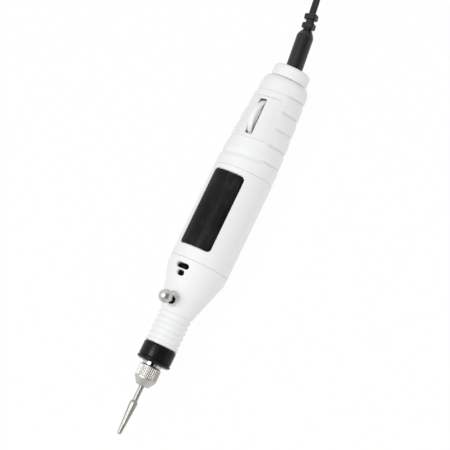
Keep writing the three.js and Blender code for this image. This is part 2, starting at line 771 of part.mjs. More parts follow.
// Nose housing: a spigot for the cap, the ribbed neck, the cone with its vents and the band,
// bored for both bearings, with the lock's pocket and dimple
function noseHousing() {
  const band = barrelRadius - SEAM_STEP;
  const bandEnd = noseSeam - SEAT_GAP / 2;
  const spigotEnd = noseSeam + SPIGOT_LENGTH;
  const capSpigot = neckRadius - NOSE_CAP_SIDE_WALL - SEAT_GAP;
  const spigotFront = capFront + NOSE_CAP_FRONT_WALL + SEAT_GAP;
  const ribs = [];
  for (let i = 0; i < RIB_COUNT; i++) {
    const middle = neckFront + FIRST_GROOVE + i * RIB_PITCH;
    const half = RIB_GROOVE_WIDTH / 2;
    ribs.push([middle - half, neckRadius]);
    ribs.push([middle, neckRadius - RIB_DEPTH]);
    ribs.push([middle + half, neckRadius]);
  }
  const frontStop = frontBearing + BEARING_WIDTH + SEAT_GAP;
  const rearStop = rearBearing - SEAT_GAP;
  const rearMouth = rearBearing + BEARING_WIDTH + SEAT_GAP;
  const webEnd = rearMouth + REAR_WEB_LENGTH;
  const innerBore = bearingSeat - NECK_BORE_STEP;
  const cavityEnd = coneEnd - CONE_ROUND_LENGTH;
  const spigotBore = spigotRadius - SPIGOT_WALL;
  let made = revolve(
    [
      [spigotFront, bearingSeat],
      [spigotFront, capSpigot],
      [neckFront, capSpigot],
      [neckFront, neckRadius],
      ...ribs,
      [coneStart, neckRadius],
      [coneEnd - CONE_ROUND_LENGTH, band - CONE_ROUND_RISE],
      [coneEnd, band],
      [bandEnd, band],
      [bandEnd, spigotRadius],
      [spigotEnd, spigotRadius],
      [spigotEnd, spigotBore],
      [coneEnd, spigotBore],
      [cavityEnd, coneRadius(cavityEnd) - CONE_WALL],
      [webEnd, coneRadius(webEnd) - CONE_WALL],
      [rearMouth, bearingSeat],
      [rearStop, bearingSeat],
      [rearStop, innerBore],
      [frontStop, innerBore],
      [frontStop, bearingSeat],
    ],
    BODY_SIDES,
  );
  const top = barrelRadius + OVERRUN;
  const pocket = LOCK_CUP_RADIUS + SEAT_GAP;
  made = made.subtract(upright(lockStation, 0, pocket, 0, top, SHAFT_SIDES));
  made = made.subtract(upright(lockStation, 0, DIMPLE_RADIUS, DIMPLE_HEIGHT, top, SHAFT_SIDES));
  VENT_SPANS.forEach((span, i) => {
    const middle = coneStart + VENT_START + VENT_WIDTH / 2 + i * (VENT_WIDTH + VENT_RIB);
    const outline = roundedRectangle(VENT_WIDTH, span, VENT_WIDTH / 2);
    made = made.subtract(raised(outline, middle, 0, bearingSeat, top));
  });
  return piece("nose_housing", made, "white");
}

// Heights of the lock's pieces above the spindle's axis
const pinEnd = journalRadius + LOCK_PIN_CLEARANCE;
const cupLow = pinEnd + SEAT_GAP;
const cupHigh = cupLow + LOCK_CUP_LENGTH;
const ringLow = cupHigh + SEAT_GAP;
const pinCollarHigh = cupHigh - SEAT_GAP / 2;
const pinCollarLow = pinCollarHigh - LOCK_COLLAR_LENGTH;
const ballLow = LOCK_BALL_HEIGHT - LOCK_BALL_RADIUS;

// The lock pin: a round pin with a collar that the spring lifts
function lockPin() {
  const top = ballLow + LOCK_COLLAR_LENGTH;
  const shaft = upright(lockStation, 0, LOCK_PIN_RADIUS, pinEnd, top, SMALL_SIDES);
  const collar = upright(
    lockStation,
    0,
    LOCK_COLLAR_RADIUS,
    pinCollarLow,
    pinCollarHigh,
    SMALL_SIDES,
  );
  return piece("lock_pin", shaft.add(collar), "steel");
}

// The ball knob, bored for the pin's end
function lockKnob() {
  const ball = new THREE.SphereGeometry(LOCK_BALL_RADIUS, SHAFT_SIDES, SHAFT_SIDES / 2);
  ball.rotateX(Math.PI / 2).translate(lockStation, 0, LOCK_BALL_HEIGHT);
  const top = ballLow + LOCK_COLLAR_LENGTH + SEAT_GAP;
  const bore = upright(
    lockStation,
    0,
    LOCK_PIN_RADIUS + SEAT_GAP,
    ballLow - OVERRUN,
    top,
    SMALL_SIDES,
  );
  return piece("lock_knob", solid(ball).subtract(bore), "nickel");
}

// The cup in the housing that guides the pin, and the ring that closes it
function lockGuide() {
  const outer = upright(lockStation, 0, LOCK_CUP_RADIUS, cupLow, cupHigh, SHAFT_SIDES);
  const room = upright(
    lockStation,
    0,
    LOCK_COLLAR_RADIUS + SEAT_GAP,
    cupLow + LOCK_CUP_FLOOR,
    cupHigh + OVERRUN,
    SHAFT_SIDES,
  );
  const hole = LOCK_PIN_RADIUS + SEAT_GAP;
  const through = upright(lockStation, 0, hole, 0, barrelRadius, SMALL_SIDES);
  const ringHigh = ringLow + LOCK_RING_LENGTH;
  const cover = upright(lockStation, 0, LOCK_RING_RADIUS, ringLow, ringHigh, SHAFT_SIDES);
  return [
    piece("lock_guide_bush", outer.subtract(room).subtract(through), "brass"),
    piece("lock_retainer_ring", cover.subtract(through), "black"),
  ];
}

// The lock's return spring: one round wire in a helix between the cup's floor and the collar
function lockSpring() {
  const radius = LOCK_COLLAR_RADIUS - LOCK_SPRING_WIRE;
  const low = cupLow + LOCK_CUP_FLOOR + RUN_GAP + LOCK_SPRING_WIRE;
  const high = pinCollarLow - RUN_GAP - LOCK_SPRING_WIRE;
  const steps = LOCK_SPRING_TURNS * 8;
  const rings = Array.from({ length: steps + 1 }, (_, i) => {
    const turn = (i / 8) * Math.PI * 2;
    const out = new THREE.Vector3(Math.cos(turn), Math.sin(turn), 0);
    const middle = out.clone().multiplyScalar(radius);
    middle.x += lockStation;
    middle.z = mix(low, high, i / steps);
    return Array.from({ length: 5 }, (_unused, j) => {
      const roll = (j / 5) * Math.PI * 2;
      const point = middle.clone().addScaledVector(out, LOCK_SPRING_WIRE * Math.cos(roll));
      point.z += LOCK_SPRING_WIRE * Math.sin(roll);
      return point;
    });
  });
  return piece("lock_spring", loft(rings), "steel");
}

// Coupling: a sleeve with one bore for the spindle's tail and one for the motor's shaft
function coupling() {
  const start = rearBearing + BEARING_WIDTH + SEAT_GAP * 3 + CLIP_THICKNESS;
  const end = start + COUPLING_LENGTH;
  const tailEnd = rearBearing + BEARING_WIDTH + SEAT_GAP * 2 + SPINDLE_TAIL_LENGTH;
  const wide = SPINDLE_TAIL_RADIUS + SEAT_GAP;
  const narrow = MOTOR_SHAFT_RADIUS + SEAT_GAP;
  const made = revolve(
    [
      [start, wide],
      [start, COUPLING_RADIUS],
      [end, COUPLING_RADIUS],
      [end, narrow],
      [tailEnd, narrow],
      [tailEnd, wide],
    ],
    SHAFT_SIDES,
  );
  return piece("shaft_coupling", made, "black");
}

// Places of the motor's two screws
const screwHeights = [SCREW_CIRCLE_RADIUS, -SCREW_CIRCLE_RADIUS];

function screwTool(height, radius, start, end) {
  return ring(start, end, radius, 0, SMALL_SIDES).translate([0, 0, height]);
}

// The plate that the motor is screwed to, and its screws
function motorMount() {
  const start = mountPlateFront;
  const end = start + MOUNT_PLATE_THICKNESS;
  let plate = ring(start, end, spigotRadius, MOUNT_PLATE_HOLE, MOTOR_SIDES);
  screwHeights.forEach((height) => {
    const hole = screwTool(height, SCREW_RADIUS + SEAT_GAP, start - OVERRUN, end + OVERRUN);
    plate = plate.subtract(hole);
  });
  const screws = screwHeights.map((height, i) => {
    const headEnd = start - SEAT_GAP;
    const head = screwTool(height, SCREW_HEAD_RADIUS, headEnd - SCREW_HEAD_LENGTH, headEnd);
    const shaft = screwTool(height, SCREW_RADIUS, headEnd - SEAT_GAP, headEnd + SCREW_LENGTH);
    return piece("motor_screw_" + ["upper", "lower"][i], head.add(shaft), "steel");
  });
  return [piece("motor_mount_plate", plate, "cream"), ...screws];
}

// The motor's can, open at the rear, with its front bush
function motorCan() {
  const inner = MOTOR_RADIUS - MOTOR_WALL;
  const wallEnd = motorFront + MOTOR_WALL;
  const bushHole = MOTOR_BUSH_RADIUS + SEAT_GAP;
  let can = revolve(
    [
      [motorFront, bushHole],
      [motorFront, MOTOR_RADIUS],
      [motorRear, MOTOR_RADIUS],
      [motorRear, inner],
      [wallEnd, inner],
      [wallEnd, bushHole],
    ],
    MOTOR_SIDES,
  );
  screwHeights.forEach((height) => {
    const hole = SCREW_RADIUS + SEAT_GAP;
    can = can.subtract(screwTool(height, hole, motorFront - OVERRUN, wallEnd + OVERRUN));
  });
  const bushFront = motorFront - MOTOR_BUSH_REACH;
  const bush = ring(
    bushFront,
    bushFront + MOTOR_BUSH_LENGTH,
    MOTOR_BUSH_RADIUS,
    MOTOR_SHAFT_RADIUS + RUN_GAP,
    SHAFT_SIDES,
  );
  return [piece("motor_can", can, "zinc"), piece("motor_shaft_bush", bush, "brass")];
}

// The end cap: a flange behind the can, a spigot in it and the rear bush's bore
function motorEndCap() {
  const inner = MOTOR_RADIUS - MOTOR_WALL - SEAT_GAP;
  const start = motorRear - END_CAP_SPIGOT;
  const flange = motorRear + SEAT_GAP;
  const made = revolve(
    [
      [start, MOTOR_SHAFT_RADIUS + RUN_GAP],
      [start, inner],
      [flange, inner],
      [flange, MOTOR_RADIUS],
      [flange + END_CAP_FLANGE, MOTOR_RADIUS],
      [flange + END_CAP_FLANGE, 0],
      [motorRear + SEAT_GAP * 2, 0],
      [motorRear + SEAT_GAP * 2, MOTOR_SHAFT_RADIUS + RUN_GAP],
    ],
    MOTOR_SIDES,
  );
  return piece("motor_end_cap", made, "cream");
}

// The two arc magnets, above and below the armature
function motorMagnets() {
  const outer = MOTOR_RADIUS - MOTOR_WALL - SEAT_GAP;
  const start = motorFront + MAGNET_OFFSET;
  const half = radians(MAGNET_SPAN / 2);
  return ["upper", "lower"].map((side, i) => {
    const shape = new THREE.Shape();
    shape.absarc(0, 0, outer, -half, half);
    shape.absarc(0, 0, outer - MAGNET_THICKNESS, half, -half, true);
    const settings = { depth: MAGNET_LENGTH, bevelEnabled: false, curveSegments: ARC_STEPS };
    const arc = new THREE.ExtrudeGeometry(shape, settings).rotateY(Math.PI / 2);
    arc.rotateX(Math.PI * i).translate(start, 0, 0);
    return piece("motor_magnet_" + side, solid(arc), "ferrite");
  });
}

const coreStart = motorFront + MAGNET_OFFSET + (MAGNET_LENGTH - CORE_LENGTH) / 2;
const coreEnd = coreStart + CORE_LENGTH;
const coreRadius = MOTOR_RADIUS - MOTOR_WALL - SEAT_GAP - MAGNET_THICKNESS - CORE_GAP;

// The armature's core: a hub with three stems that end in curved shoes
function motorCore() {
  const hub = ring(coreStart, coreEnd, CORE_HUB_RADIUS, 0, SHAFT_SIDES);
  const shoeInner = coreRadius - CORE_TIP_THICKNESS;
  const half = radians(CORE_TIP_SPAN / 2);
  const stemHalf = CORE_STEM_WIDTH / 2;
  let made = hub;
  for (let i = 0; i < POLE_COUNT; i++) {
    const shape = new THREE.Shape();
    shape.absarc(0, 0, coreRadius, -half, half);
    shape.absarc(0, 0, shoeInner, half, -half, true);
    const settings = { depth: CORE_LENGTH, bevelEnabled: false, curveSegments: ARC_STEPS };
    const shoe = new THREE.ExtrudeGeometry(shape, settings).rotateY(Math.PI / 2);
    shoe.translate(coreStart, 0, 0);
    const stemTop = shoeInner + CORE_TIP_THICKNESS / 2;
    const stem = box([coreStart, -stemHalf, -stemTop], [coreEnd, stemHalf, 0]);
    const pole = solid(shoe).add(stem);
    made = made.add(pole.rotate([(360 / POLE_COUNT) * i, 0, 0]));
  }
  const bore = MOTOR_SHAFT_RADIUS + SEAT_GAP;
  made = made.subtract(ring(coreStart - OVERRUN, coreEnd + OVERRUN, bore, 0, SHAFT_SIDES));
  return piece("motor_core", made, "steel");
}

// A winding round each stem of the core
function motorWindings() {
  const inner = CORE_HUB_RADIUS + SEAT_GAP;
  const stemHalf = CORE_STEM_WIDTH / 2 + SEAT_GAP;
  const half = stemHalf + WINDING_THICKNESS;
  const shoeInner = coreRadius - CORE_TIP_THICKNESS;
  const outer = Math.sqrt(shoeInner * shoeInner - half * half) - SEAT_GAP * 1.5;
  const start = coreStart - SEAT_GAP;
  const end = coreEnd + SEAT_GAP;
  const around = box(
    [start - WINDING_THICKNESS, -half, -outer],
    [end + WINDING_THICKNESS, half, -inner],
  );
  const hole = box([start, -stemHalf, -outer - OVERRUN], [end, stemHalf, 0]);
  return Array.from({ length: POLE_COUNT }, (_, i) => {
    const made = around.subtract(hole).rotate([(360 / POLE_COUNT) * i, 0, 0]);
    return piece("motor_winding_" + (i + 1), made, "copper");
  });
}

const commutatorStart = coreEnd + COMMUTATOR_OFFSET;

// The motor's shaft and commutator
function motorShaft() {
  const start = motorFront - MOTOR_SHAFT_REACH;
  const end = motorRear;
  const commutatorEnd = commutatorStart + COMMUTATOR_LENGTH;
  const bore = MOTOR_SHAFT_RADIUS + SEAT_GAP;
  const made = ring(commutatorStart, commutatorEnd, COMMUTATOR_RADIUS, bore, SHAFT_SIDES);
  return [
    piece("motor_shaft", ring(start, end, MOTOR_SHAFT_RADIUS, 0, SHAFT_SIDES), "steel"),
    piece("motor_commutator", made, "copper"),
  ];
}

// Two brushes, each a block against the commutator on an arm from the end cap
function motorBrushes() {
  const middle = commutatorStart + COMMUTATOR_LENGTH / 2;
  const half = BRUSH_SIZE / 2;
  const near = COMMUTATOR_RADIUS + RUN_GAP;
  const armEnd = motorRear - END_CAP_SPIGOT - SEAT_GAP;
  const block = box([middle - half, near, -half], [middle + half, near + BRUSH_REACH, half]);
  const armLow = near + BRUSH_REACH - half;
  const arm = box([middle, armLow, -half], [armEnd, near + BRUSH_REACH, half]);
  const made = block.add(arm);
  return [
    piece("motor_brush_left", made, "carbon"),
    piece("motor_brush_right", made.rotate([180, 0, 0]), "carbon"),
  ];
}

// Everything ahead of or behind the slanted seam, as a tool to cut with
function seamTool(station, towards) {
  const reach = barrelRadius * 4;
  const low = towards > 0 ? 0 : -reach;
  const half = box([low, -reach, -reach], [low + reach, reach, reach]);
  return half.rotate([0, 0, SEAM_SLANT]).translate([station, 0, 0]);
}

// A curved pad: a flat outline cut from a ring or cone between two radii at each end
function curvedPad(outline, x, y, from, to, inner, outer) {
  const band = revolve(
    [
      [from, inner(from)],
      [from, outer(from)],
      [to, outer(to)],
      [to, inner(to)],
    ],
    BODY_SIDES,
  );
  return raised(outline, x, y, 0, barrelRadius * 2).intersect(band);
}

// Barrel: a tube with a slanted rear edge and a shallow bed for the plate
const labelMiddle = noseSeam + LABEL_OFFSET + LABEL_LENGTH / 2;
const labelOuter = barrelRadius - LABEL_SINK;
const labelInner = labelOuter - LABEL_THICKNESS;

function barrelHousing() {
  const front = noseSeam + SEAT_GAP / 2;
  const rear = gripSeam + barrelRadius;
  let made = ring(front, rear, barrelRadius, barrelBore, BODY_SIDES);
  made = made.subtract(seamTool(gripSeam - SEAT_GAP / 2, 1));
  const bed = curvedPad(
    roundedRectangle(
      LABEL_LENGTH + SEAT_GAP * 2,
      LABEL_WIDTH + SEAT_GAP * 2,
      LABEL_CORNER + SEAT_GAP,
    ),
    labelMiddle,
    0,
    noseSeam,
    gripSeam,
    () => labelInner - SEAT_GAP,
    () => barrelRadius + OVERRUN,
  );
  return piece("barrel_housing", made.subtract(bed), "white");
}

function labelPlate() {
  const made = curvedPad(
    roundedRectangle(LABEL_LENGTH, LABEL_WIDTH, LABEL_CORNER),
    labelMiddle,
    0,
    noseSeam,
    gripSeam,
    () => labelInner,
    () => labelOuter,
  );
  return piece("label_plate", made, "glossBlack");
}

// The grip's plain outer radius at a station, without its grooves and plateau
function gripRadius(station) {
  const share = (station - gripSeam) / (GRIP_LENGTH - GRIP_END_LENGTH);
  const bulge = GRIP_CROWN * Math.sin(Math.PI * THREE.MathUtils.clamp(share, 0, 1));
  return mix(barrelRadius - GRIP_FRONT_DROP, GRIP_REAR_RADIUS, share) + bulge;
}

// How much of a turn's surface belongs to the smooth plateau on top: 1 on top, 0 below
function plateauShare(turn) {
  const fromTop = Math.abs(THREE.MathUtils.radToDeg(Math.atan2(Math.sin(turn), Math.cos(turn))));
  return 1 - smooth(fromTop, PLATEAU_EDGES[0], PLATEAU_EDGES[1]);
}

const plateauStart = gripSeam + GROOVE_START;

function plateauRadius(station) {
  const ramp = smooth(station, plateauStart - PLATEAU_RAMP / 2, plateauStart + PLATEAU_RAMP / 2);
  return gripRadius(station) + PLATEAU_RISE * ramp;
}

// One ring of the grip's surface; its plane slants about Z by its own share of the slant
function gripRing(station, radiusAt, slantShare) {
  return Array.from({ length: BODY_SIDES }, (_, j) => {
    const turn = (j / BODY_SIDES) * Math.PI * 2;
    const radius = radiusAt(turn);
    const y = -radius * Math.sin(turn);
    const at = typeof station === "function" ? station(turn) : station;
    return new THREE.Vector3(at - slant * slantShare * y, y, radius * Math.cos(turn));
  });
}

// Grip: a tapered shell with five slanted ring grooves that fade out round the plateau
function gripHousing() {
  const endStart = gripRear - GRIP_END_LENGTH;
  const surface = (station, sunk) => (turn) => {
    const top = plateauShare(turn);
    return mix(gripRadius(station) - sunk, plateauRadius(station), top);
  };
  const rings = [];
  const front = gripSeam + SEAT_GAP / 2;
  rings.push(gripRing(front - GRIP_SPIGOT_LENGTH, () => spigotRadius, 0));
  rings.push(gripRing(front, () => spigotRadius, seamShare));
  rings.push(gripRing(front, surface(front, 0), seamShare));
  for (let i = 0; i < GROOVE_COUNT; i++) {
    const middle = gripSeam + GROOVE_START + i * GROOVE_PITCH;
    rings.push(gripRing(middle - GROOVE_WIDTH / 2, surface(middle, 0), 1));
    rings.push(gripRing(middle, surface(middle, GROOVE_DEPTH), 1));
    rings.push(gripRing(middle + GROOVE_WIDTH / 2, surface(middle, 0), 1));
  }
  for (let i = 0; i <= CORNER_STEPS; i++) {
    const turn = (i / CORNER_STEPS) * (Math.PI / 2);
    const station = (around) =>
      mix(endStart + (plateauShare(around) * GRIP_END_LENGTH) / 2, gripRear, Math.sin(turn));
    const radiusAt = (around) =>
      mix(GRIP_END_RADIUS, surface(endStart, 0)(around), Math.cos(turn));
    rings.push(gripRing(station, radiusAt, (1 - i / CORNER_STEPS) / 2));
  }
  const mouth = REAR_CAP_SPIGOT_RADIUS + SEAT_GAP;
  const cavityEnd = gripRear - REAR_CAP_SPIGOT_LENGTH;
  const even = (radius) => () => radius;
  rings.push(gripRing(gripRear, even(mouth), 0));
  rings.push(gripRing(cavityEnd, even(mouth), 0));
  rings.push(gripRing(cavityEnd, even(gripRadius(cavityEnd) - GRIP_WALL), 0));
  rings.push(gripRing(front, even(spigotRadius - SPIGOT_WALL), 0));
  rings.push(gripRing(front - GRIP_SPIGOT_LENGTH, even(spigotRadius - SPIGOT_WALL), 0));
  rings.push(rings[0]);
  let made = openLoft(rings);
  const motorEnd = motorRear + END_CAP_FLANGE + MOTOR_CLEARANCE * 2;
  made = made.subtract(ring(motorFront, motorEnd, barrelBore, 0, BODY_SIDES));
  const middle = wheelStation;
  const bed = coverPad(SEAT_GAP, COVER_SINK + COVER_THICKNESS + SEAT_GAP, -OVERRUN);
  const opening = roundedRectangle(
    wheelChord(1) * 2 + SLOT_END_GAP,
    SLOT_WIDTH + SLOT_END_GAP,
    COVER_CORNER,
  );
  made = made.subtract(bed);
  made = made.subtract(raised(opening, middle, SLOT_SIDE_SHIFT, WHEEL_HEIGHT, barrelRadius * 2));
  return piece("grip_housing", made, "white");
}

// A tube of rings that closes on itself: its last ring is its first
function openLoft(rings) {
  const count = rings[0].length;
  const places = rings.flatMap((points) => points.flatMap((p) => [p.x, p.y, p.z]));
  const faces = [];
  for (let i = 0; i + 1 < rings.length; i++) {
    for (let j = 0; j < count; j++) {
      const a = i * count + j;
      const b = i * count + ((j + 1) % count);
      faces.push(a, b, b + count, a, b + count, a + count);
    }
  }
  const geometry = new THREE.BufferGeometry();
  geometry.setAttribute("position", new THREE.Float32BufferAttribute(places, 3));
  geometry.setIndex(faces);
  return solid(geometry);
}

// Half the wheel's length in the cover's slot, at a depth under the cover's inner face
function wheelChord(depth) {
  const inner = plateauRadius(wheelStation) - COVER_SINK - COVER_THICKNESS;
  const rise = Math.max(inner - GRIP_WALL * depth - WHEEL_HEIGHT, 0);
  return Math.sqrt(WHEEL_RADIUS * WHEEL_RADIUS - rise * rise);
}

// The wheel cover's pad: grown by a gap all round, between two depths under the plateau
function coverPad(gap, depth, top) {
  const outline = roundedRectangle(
    COVER_LENGTH + gap * 2,
    COVER_WIDTH + gap * 2,
    COVER_CORNER + gap,
  );
  const from = wheelStation - COVER_LENGTH;
  const to = wheelStation + COVER_LENGTH;
  const inner = (station) => plateauRadius(station) - depth;
  const outer = (station) => plateauRadius(station) - top;
  return curvedPad(outline, wheelStation, 0, from, to, inner, outer);
}

function wheelCover() {
  const pad = coverPad(0, COVER_SINK + COVER_THICKNESS, COVER_SINK);
  const slot = roundedRectangle(wheelChord(0) * 2 + SLOT_END_GAP * 2, SLOT_WIDTH, SLOT_CORNER);
  const tool = raised(slot, wheelStation, SLOT_SIDE_SHIFT, 0, barrelRadius * 2);
  return piece("wheel_cover_plate", pad.subtract(tool), "white");
}

// Thumb wheel: a disc with a toothed rim, on its shaft
function speedWheel() {
  const shape = new THREE.Shape();
  const count = WHEEL_TEETH * 2;
  for (let i = 0; i < count; i++) {
    const turn = (i / count) * Math.PI * 2;
    const radius = WHEEL_RADIUS - (i % 2) * WHEEL_TOOTH_DEPTH;
    const place = [radius * Math.cos(turn), radius * Math.sin(turn)];
    if (i) shape.lineTo(...place);
    else shape.moveTo(...place);
  }
  const settings = { depth: WHEEL_THICKNESS, bevelEnabled: false };
  const disc = new THREE.ExtrudeGeometry(shape, settings).rotateX(Math.PI / 2);
  const high = WHEEL_SIDE_SHIFT + WHEEL_THICKNESS / 2;
  disc.translate(wheelStation, high, WHEEL_HEIGHT);
  const low = high - WHEEL_THICKNESS;
  const hole = WHEEL_SHAFT_RADIUS + SEAT_GAP;
  const bore = crosswise(
    wheelStation,
    WHEEL_HEIGHT,
    hole,
    low - OVERRUN,
    high + OVERRUN,
    SMALL_SIDES,
  );
  const shaft = crosswise(
    wheelStation,
    WHEEL_HEIGHT,
    WHEEL_SHAFT_RADIUS,
    low - SEAT_GAP,
    high + SEAT_GAP + POT_THICKNESS,
    SMALL_SIDES,
  );
  return [
    piece("speed_wheel", solid(disc).subtract(bore), "white"),
    piece("wheel_shaft", shaft, "steel"),
  ];
}

const boardTop = WHEEL_HEIGHT - WHEEL_RADIUS - BOARD_CLEARANCE;

// Potentiometer: a housing that stands on the board beside the wheel and holds its shaft
function potentiometer() {
  const near = WHEEL_SIDE_SHIFT + WHEEL_THICKNESS / 2 + SEAT_GAP;
  const shape = new THREE.Shape();
  const base = boardTop + SEAT_GAP;
  const shoulder = WHEEL_HEIGHT - POT_SHOULDER;
  shape.moveTo(-POT_BASE_LENGTH / 2, base);
  shape.lineTo(POT_BASE_LENGTH / 2, base);
  shape.lineTo(POT_BASE_LENGTH / 2, shoulder);
  shape.absarc(0, WHEEL_HEIGHT, POT_TOP_RADIUS, 0, Math.PI);
  shape.lineTo(-POT_BASE_LENGTH / 2, shoulder);
  const settings = {
    depth: POT_THICKNESS,
    bevelEnabled: false,
    curveSegments: CORNER_STEPS * 2,
  };
  const body = new THREE.ExtrudeGeometry(shape, settings).rotateX(Math.PI / 2);
  body.translate(wheelStation, near + POT_THICKNESS, 0);
  const bore = crosswise(
    wheelStation,
    WHEEL_HEIGHT,
    WHEEL_SHAFT_RADIUS + RUN_GAP,
    near - OVERRUN,
    near + POT_THICKNESS + OVERRUN,
    SMALL_SIDES,
  );
  return piece("speed_potentiometer", solid(body).subtract(bore), "carbon");
}

const boardStart = gripSeam + BOARD_START;
const boardEnd = boardStart + BOARD_LENGTH;

// Circuit board: its long edges lie against the grip's taper at the rear
function circuitBoard() {
  const bottom = boardTop - BOARD_THICKNESS;
  const wall = gripRadius(boardEnd) - GRIP_WALL;
  const half = Math.sqrt(wall * wall - bottom * bottom) - SEAT_GAP;
  const made = box([boardStart, -half, bottom], [boardEnd, half, boardTop]);
  return piece("circuit_board", made, "board");
}

// The two wires from the motor's end cap to the board
function motorWires() {
  const start = motorRear + SEAT_GAP * 2 + END_CAP_FLANGE;
  const end = boardStart + BOARD_THICKNESS;
  const low = boardTop + WIRE_RADIUS + SEAT_GAP;
  const levelShare = 0.3; // of the way, before the wires bend down to the board
  const settledShare = 0.75;
  return ["red", "black"].map((colour, i) => {
    const y = (i ? -1 : 1) * COMMUTATOR_RADIUS;
    const path = new THREE.CatmullRomCurve3([
      new THREE.Vector3(start, y, 0),
      new THREE.Vector3(mix(start, end, levelShare), y, 0),
      new THREE.Vector3(mix(start, end, settledShare), y, low),
      new THREE.Vector3(end, y, low),
    ]);
    const shape = new THREE.Shape();
    shape.absarc(0, 0, WIRE_RADIUS, 0, Math.PI * 2);
    const settings = {
      steps: SMALL_SIDES,
      bevelEnabled: false,
      extrudePath: path,
      curveSegments: CORNER_STEPS,
    };
    const made = solid(new THREE.ExtrudeGeometry(shape, settings));
    return piece("motor_wire_" + colour, made, i ? "charcoal" : "redWire");
  });
}

// Rear cap: a round-edged cap on a spigot, bored for the socket and the plug
function rearCap() {
  const front = gripRear + SEAT_GAP;
  const spigotFront = gripRear - REAR_CAP_SPIGOT_LENGTH + SEAT_GAP;
  const bore = SOCKET_RADIUS + SEAT_GAP;
  const inner = penLength - REAR_CAP_END_WALL;
  const round = Array.from({ length: CORNER_STEPS + 1 }, (_, i) => {
    const turn = (i / CORNER_STEPS) * (Math.PI / 2);
    return [
      penLength - REAR_CAP_ROUND * (1 - Math.sin(turn)),
      REAR_CAP_RADIUS - REAR_CAP_ROUND * (1 - Math.cos(turn)),
    ];
  });
  const hole = PLUG_BARREL_RADIUS + SEAT_GAP * 2;
  const made = revolve(
    [
      [spigotFront, bore],
      [spigotFront, REAR_CAP_SPIGOT_RADIUS],
      [front, REAR_CAP_SPIGOT_RADIUS],
      [front, REAR_CAP_RADIUS],
      ...round,
      [penLength, hole],
      [inner, hole],
      [inner, bore],
    ],
    BODY_SIDES,
  );
  return piece("rear_cap", made, "white");
}

const socketRear = penLength - REAR_CAP_END_WALL - SEAT_GAP;
const socketFloor = socketRear - SOCKET_DEPTH;

// Power socket: an insulating body with a blind bore, and the centre pin in its floor
function powerSocket() {
  const front = socketRear - SOCKET_LENGTH;
  const pinHole = SOCKET_PIN_RADIUS + SEAT_GAP;
  const made = revolve(
    [
      [front, pinHole],
      [front, SOCKET_RADIUS],
      [socketRear, SOCKET_RADIUS],
      [socketRear, PLUG_BARREL_RADIUS + SEAT_GAP],
      [socketFloor, PLUG_BARREL_RADIUS + SEAT_GAP],
      [socketFloor, pinHole],
    ],
    SHAFT_SIDES,
  );
  const pinStart = front - SOCKET_LUG_LENGTH;
  const pinEndStation = socketRear - SOCKET_PIN_SETBACK;
  const pin = ring(pinStart, pinEndStation, SOCKET_PIN_RADIUS, 0, SMALL_SIDES);
  return [piece("socket_body", made, "black"), piece("socket_pin", pin, "brass")];
}

const plugFront = penLength + PLUG_CAP_GAP;

// Plug: the contact barrel in the socket
function contactBarrel() {
  const made = revolve(
    [
      [socketFloor + SEAT_GAP, PLUG_BARREL_BORE],
      [socketFloor + SEAT_GAP, PLUG_BARREL_RADIUS],
      [plugFront + PLUG_ROOT_DEPTH, PLUG_BARREL_RADIUS],
      [plugFront + PLUG_ROOT_DEPTH, 0],
      [socketRear, 0],
      [socketRear, PLUG_BARREL_BORE],
    ],
    SHAFT_SIDES,
  );
  return piece("plug_contact_barrel", made, "nickel");
}

// The plug's centre line: it leans to one side, and bends further over its ribs
function plugLine(distance) {
  const lean = radians(PLUG_LEAN);
  const bendStart = PLUG_BODY_LENGTH + PLUG_SHOULDER_LENGTH;
  const ribs = RELIEF_RIB_COUNT * (RELIEF_RIB_LENGTH + RELIEF_GAP_LENGTH);
  const place = new THREE.Vector3(plugFront, PLUG_SIDE_SHIFT, 0);
  const along = new THREE.Vector3(1, 0, 0);
  const steps = Math.ceil(distance / PLUG_EDGE);
  for (let i = 0; i < steps; i++) {
    const at = ((i + 0.5) / steps) * distance;
    const bend = radians(RELIEF_BEND) * THREE.MathUtils.clamp((at - bendStart) / ribs, 0, 1);
    const angle = lean * Math.min(at / PLUG_LEAN_LENGTH, 1) + bend;
    along.set(Math.cos(angle), Math.sin(angle), 0);
    place.addScaledVector(along, distance / steps);
  }
  return { place, along };
}

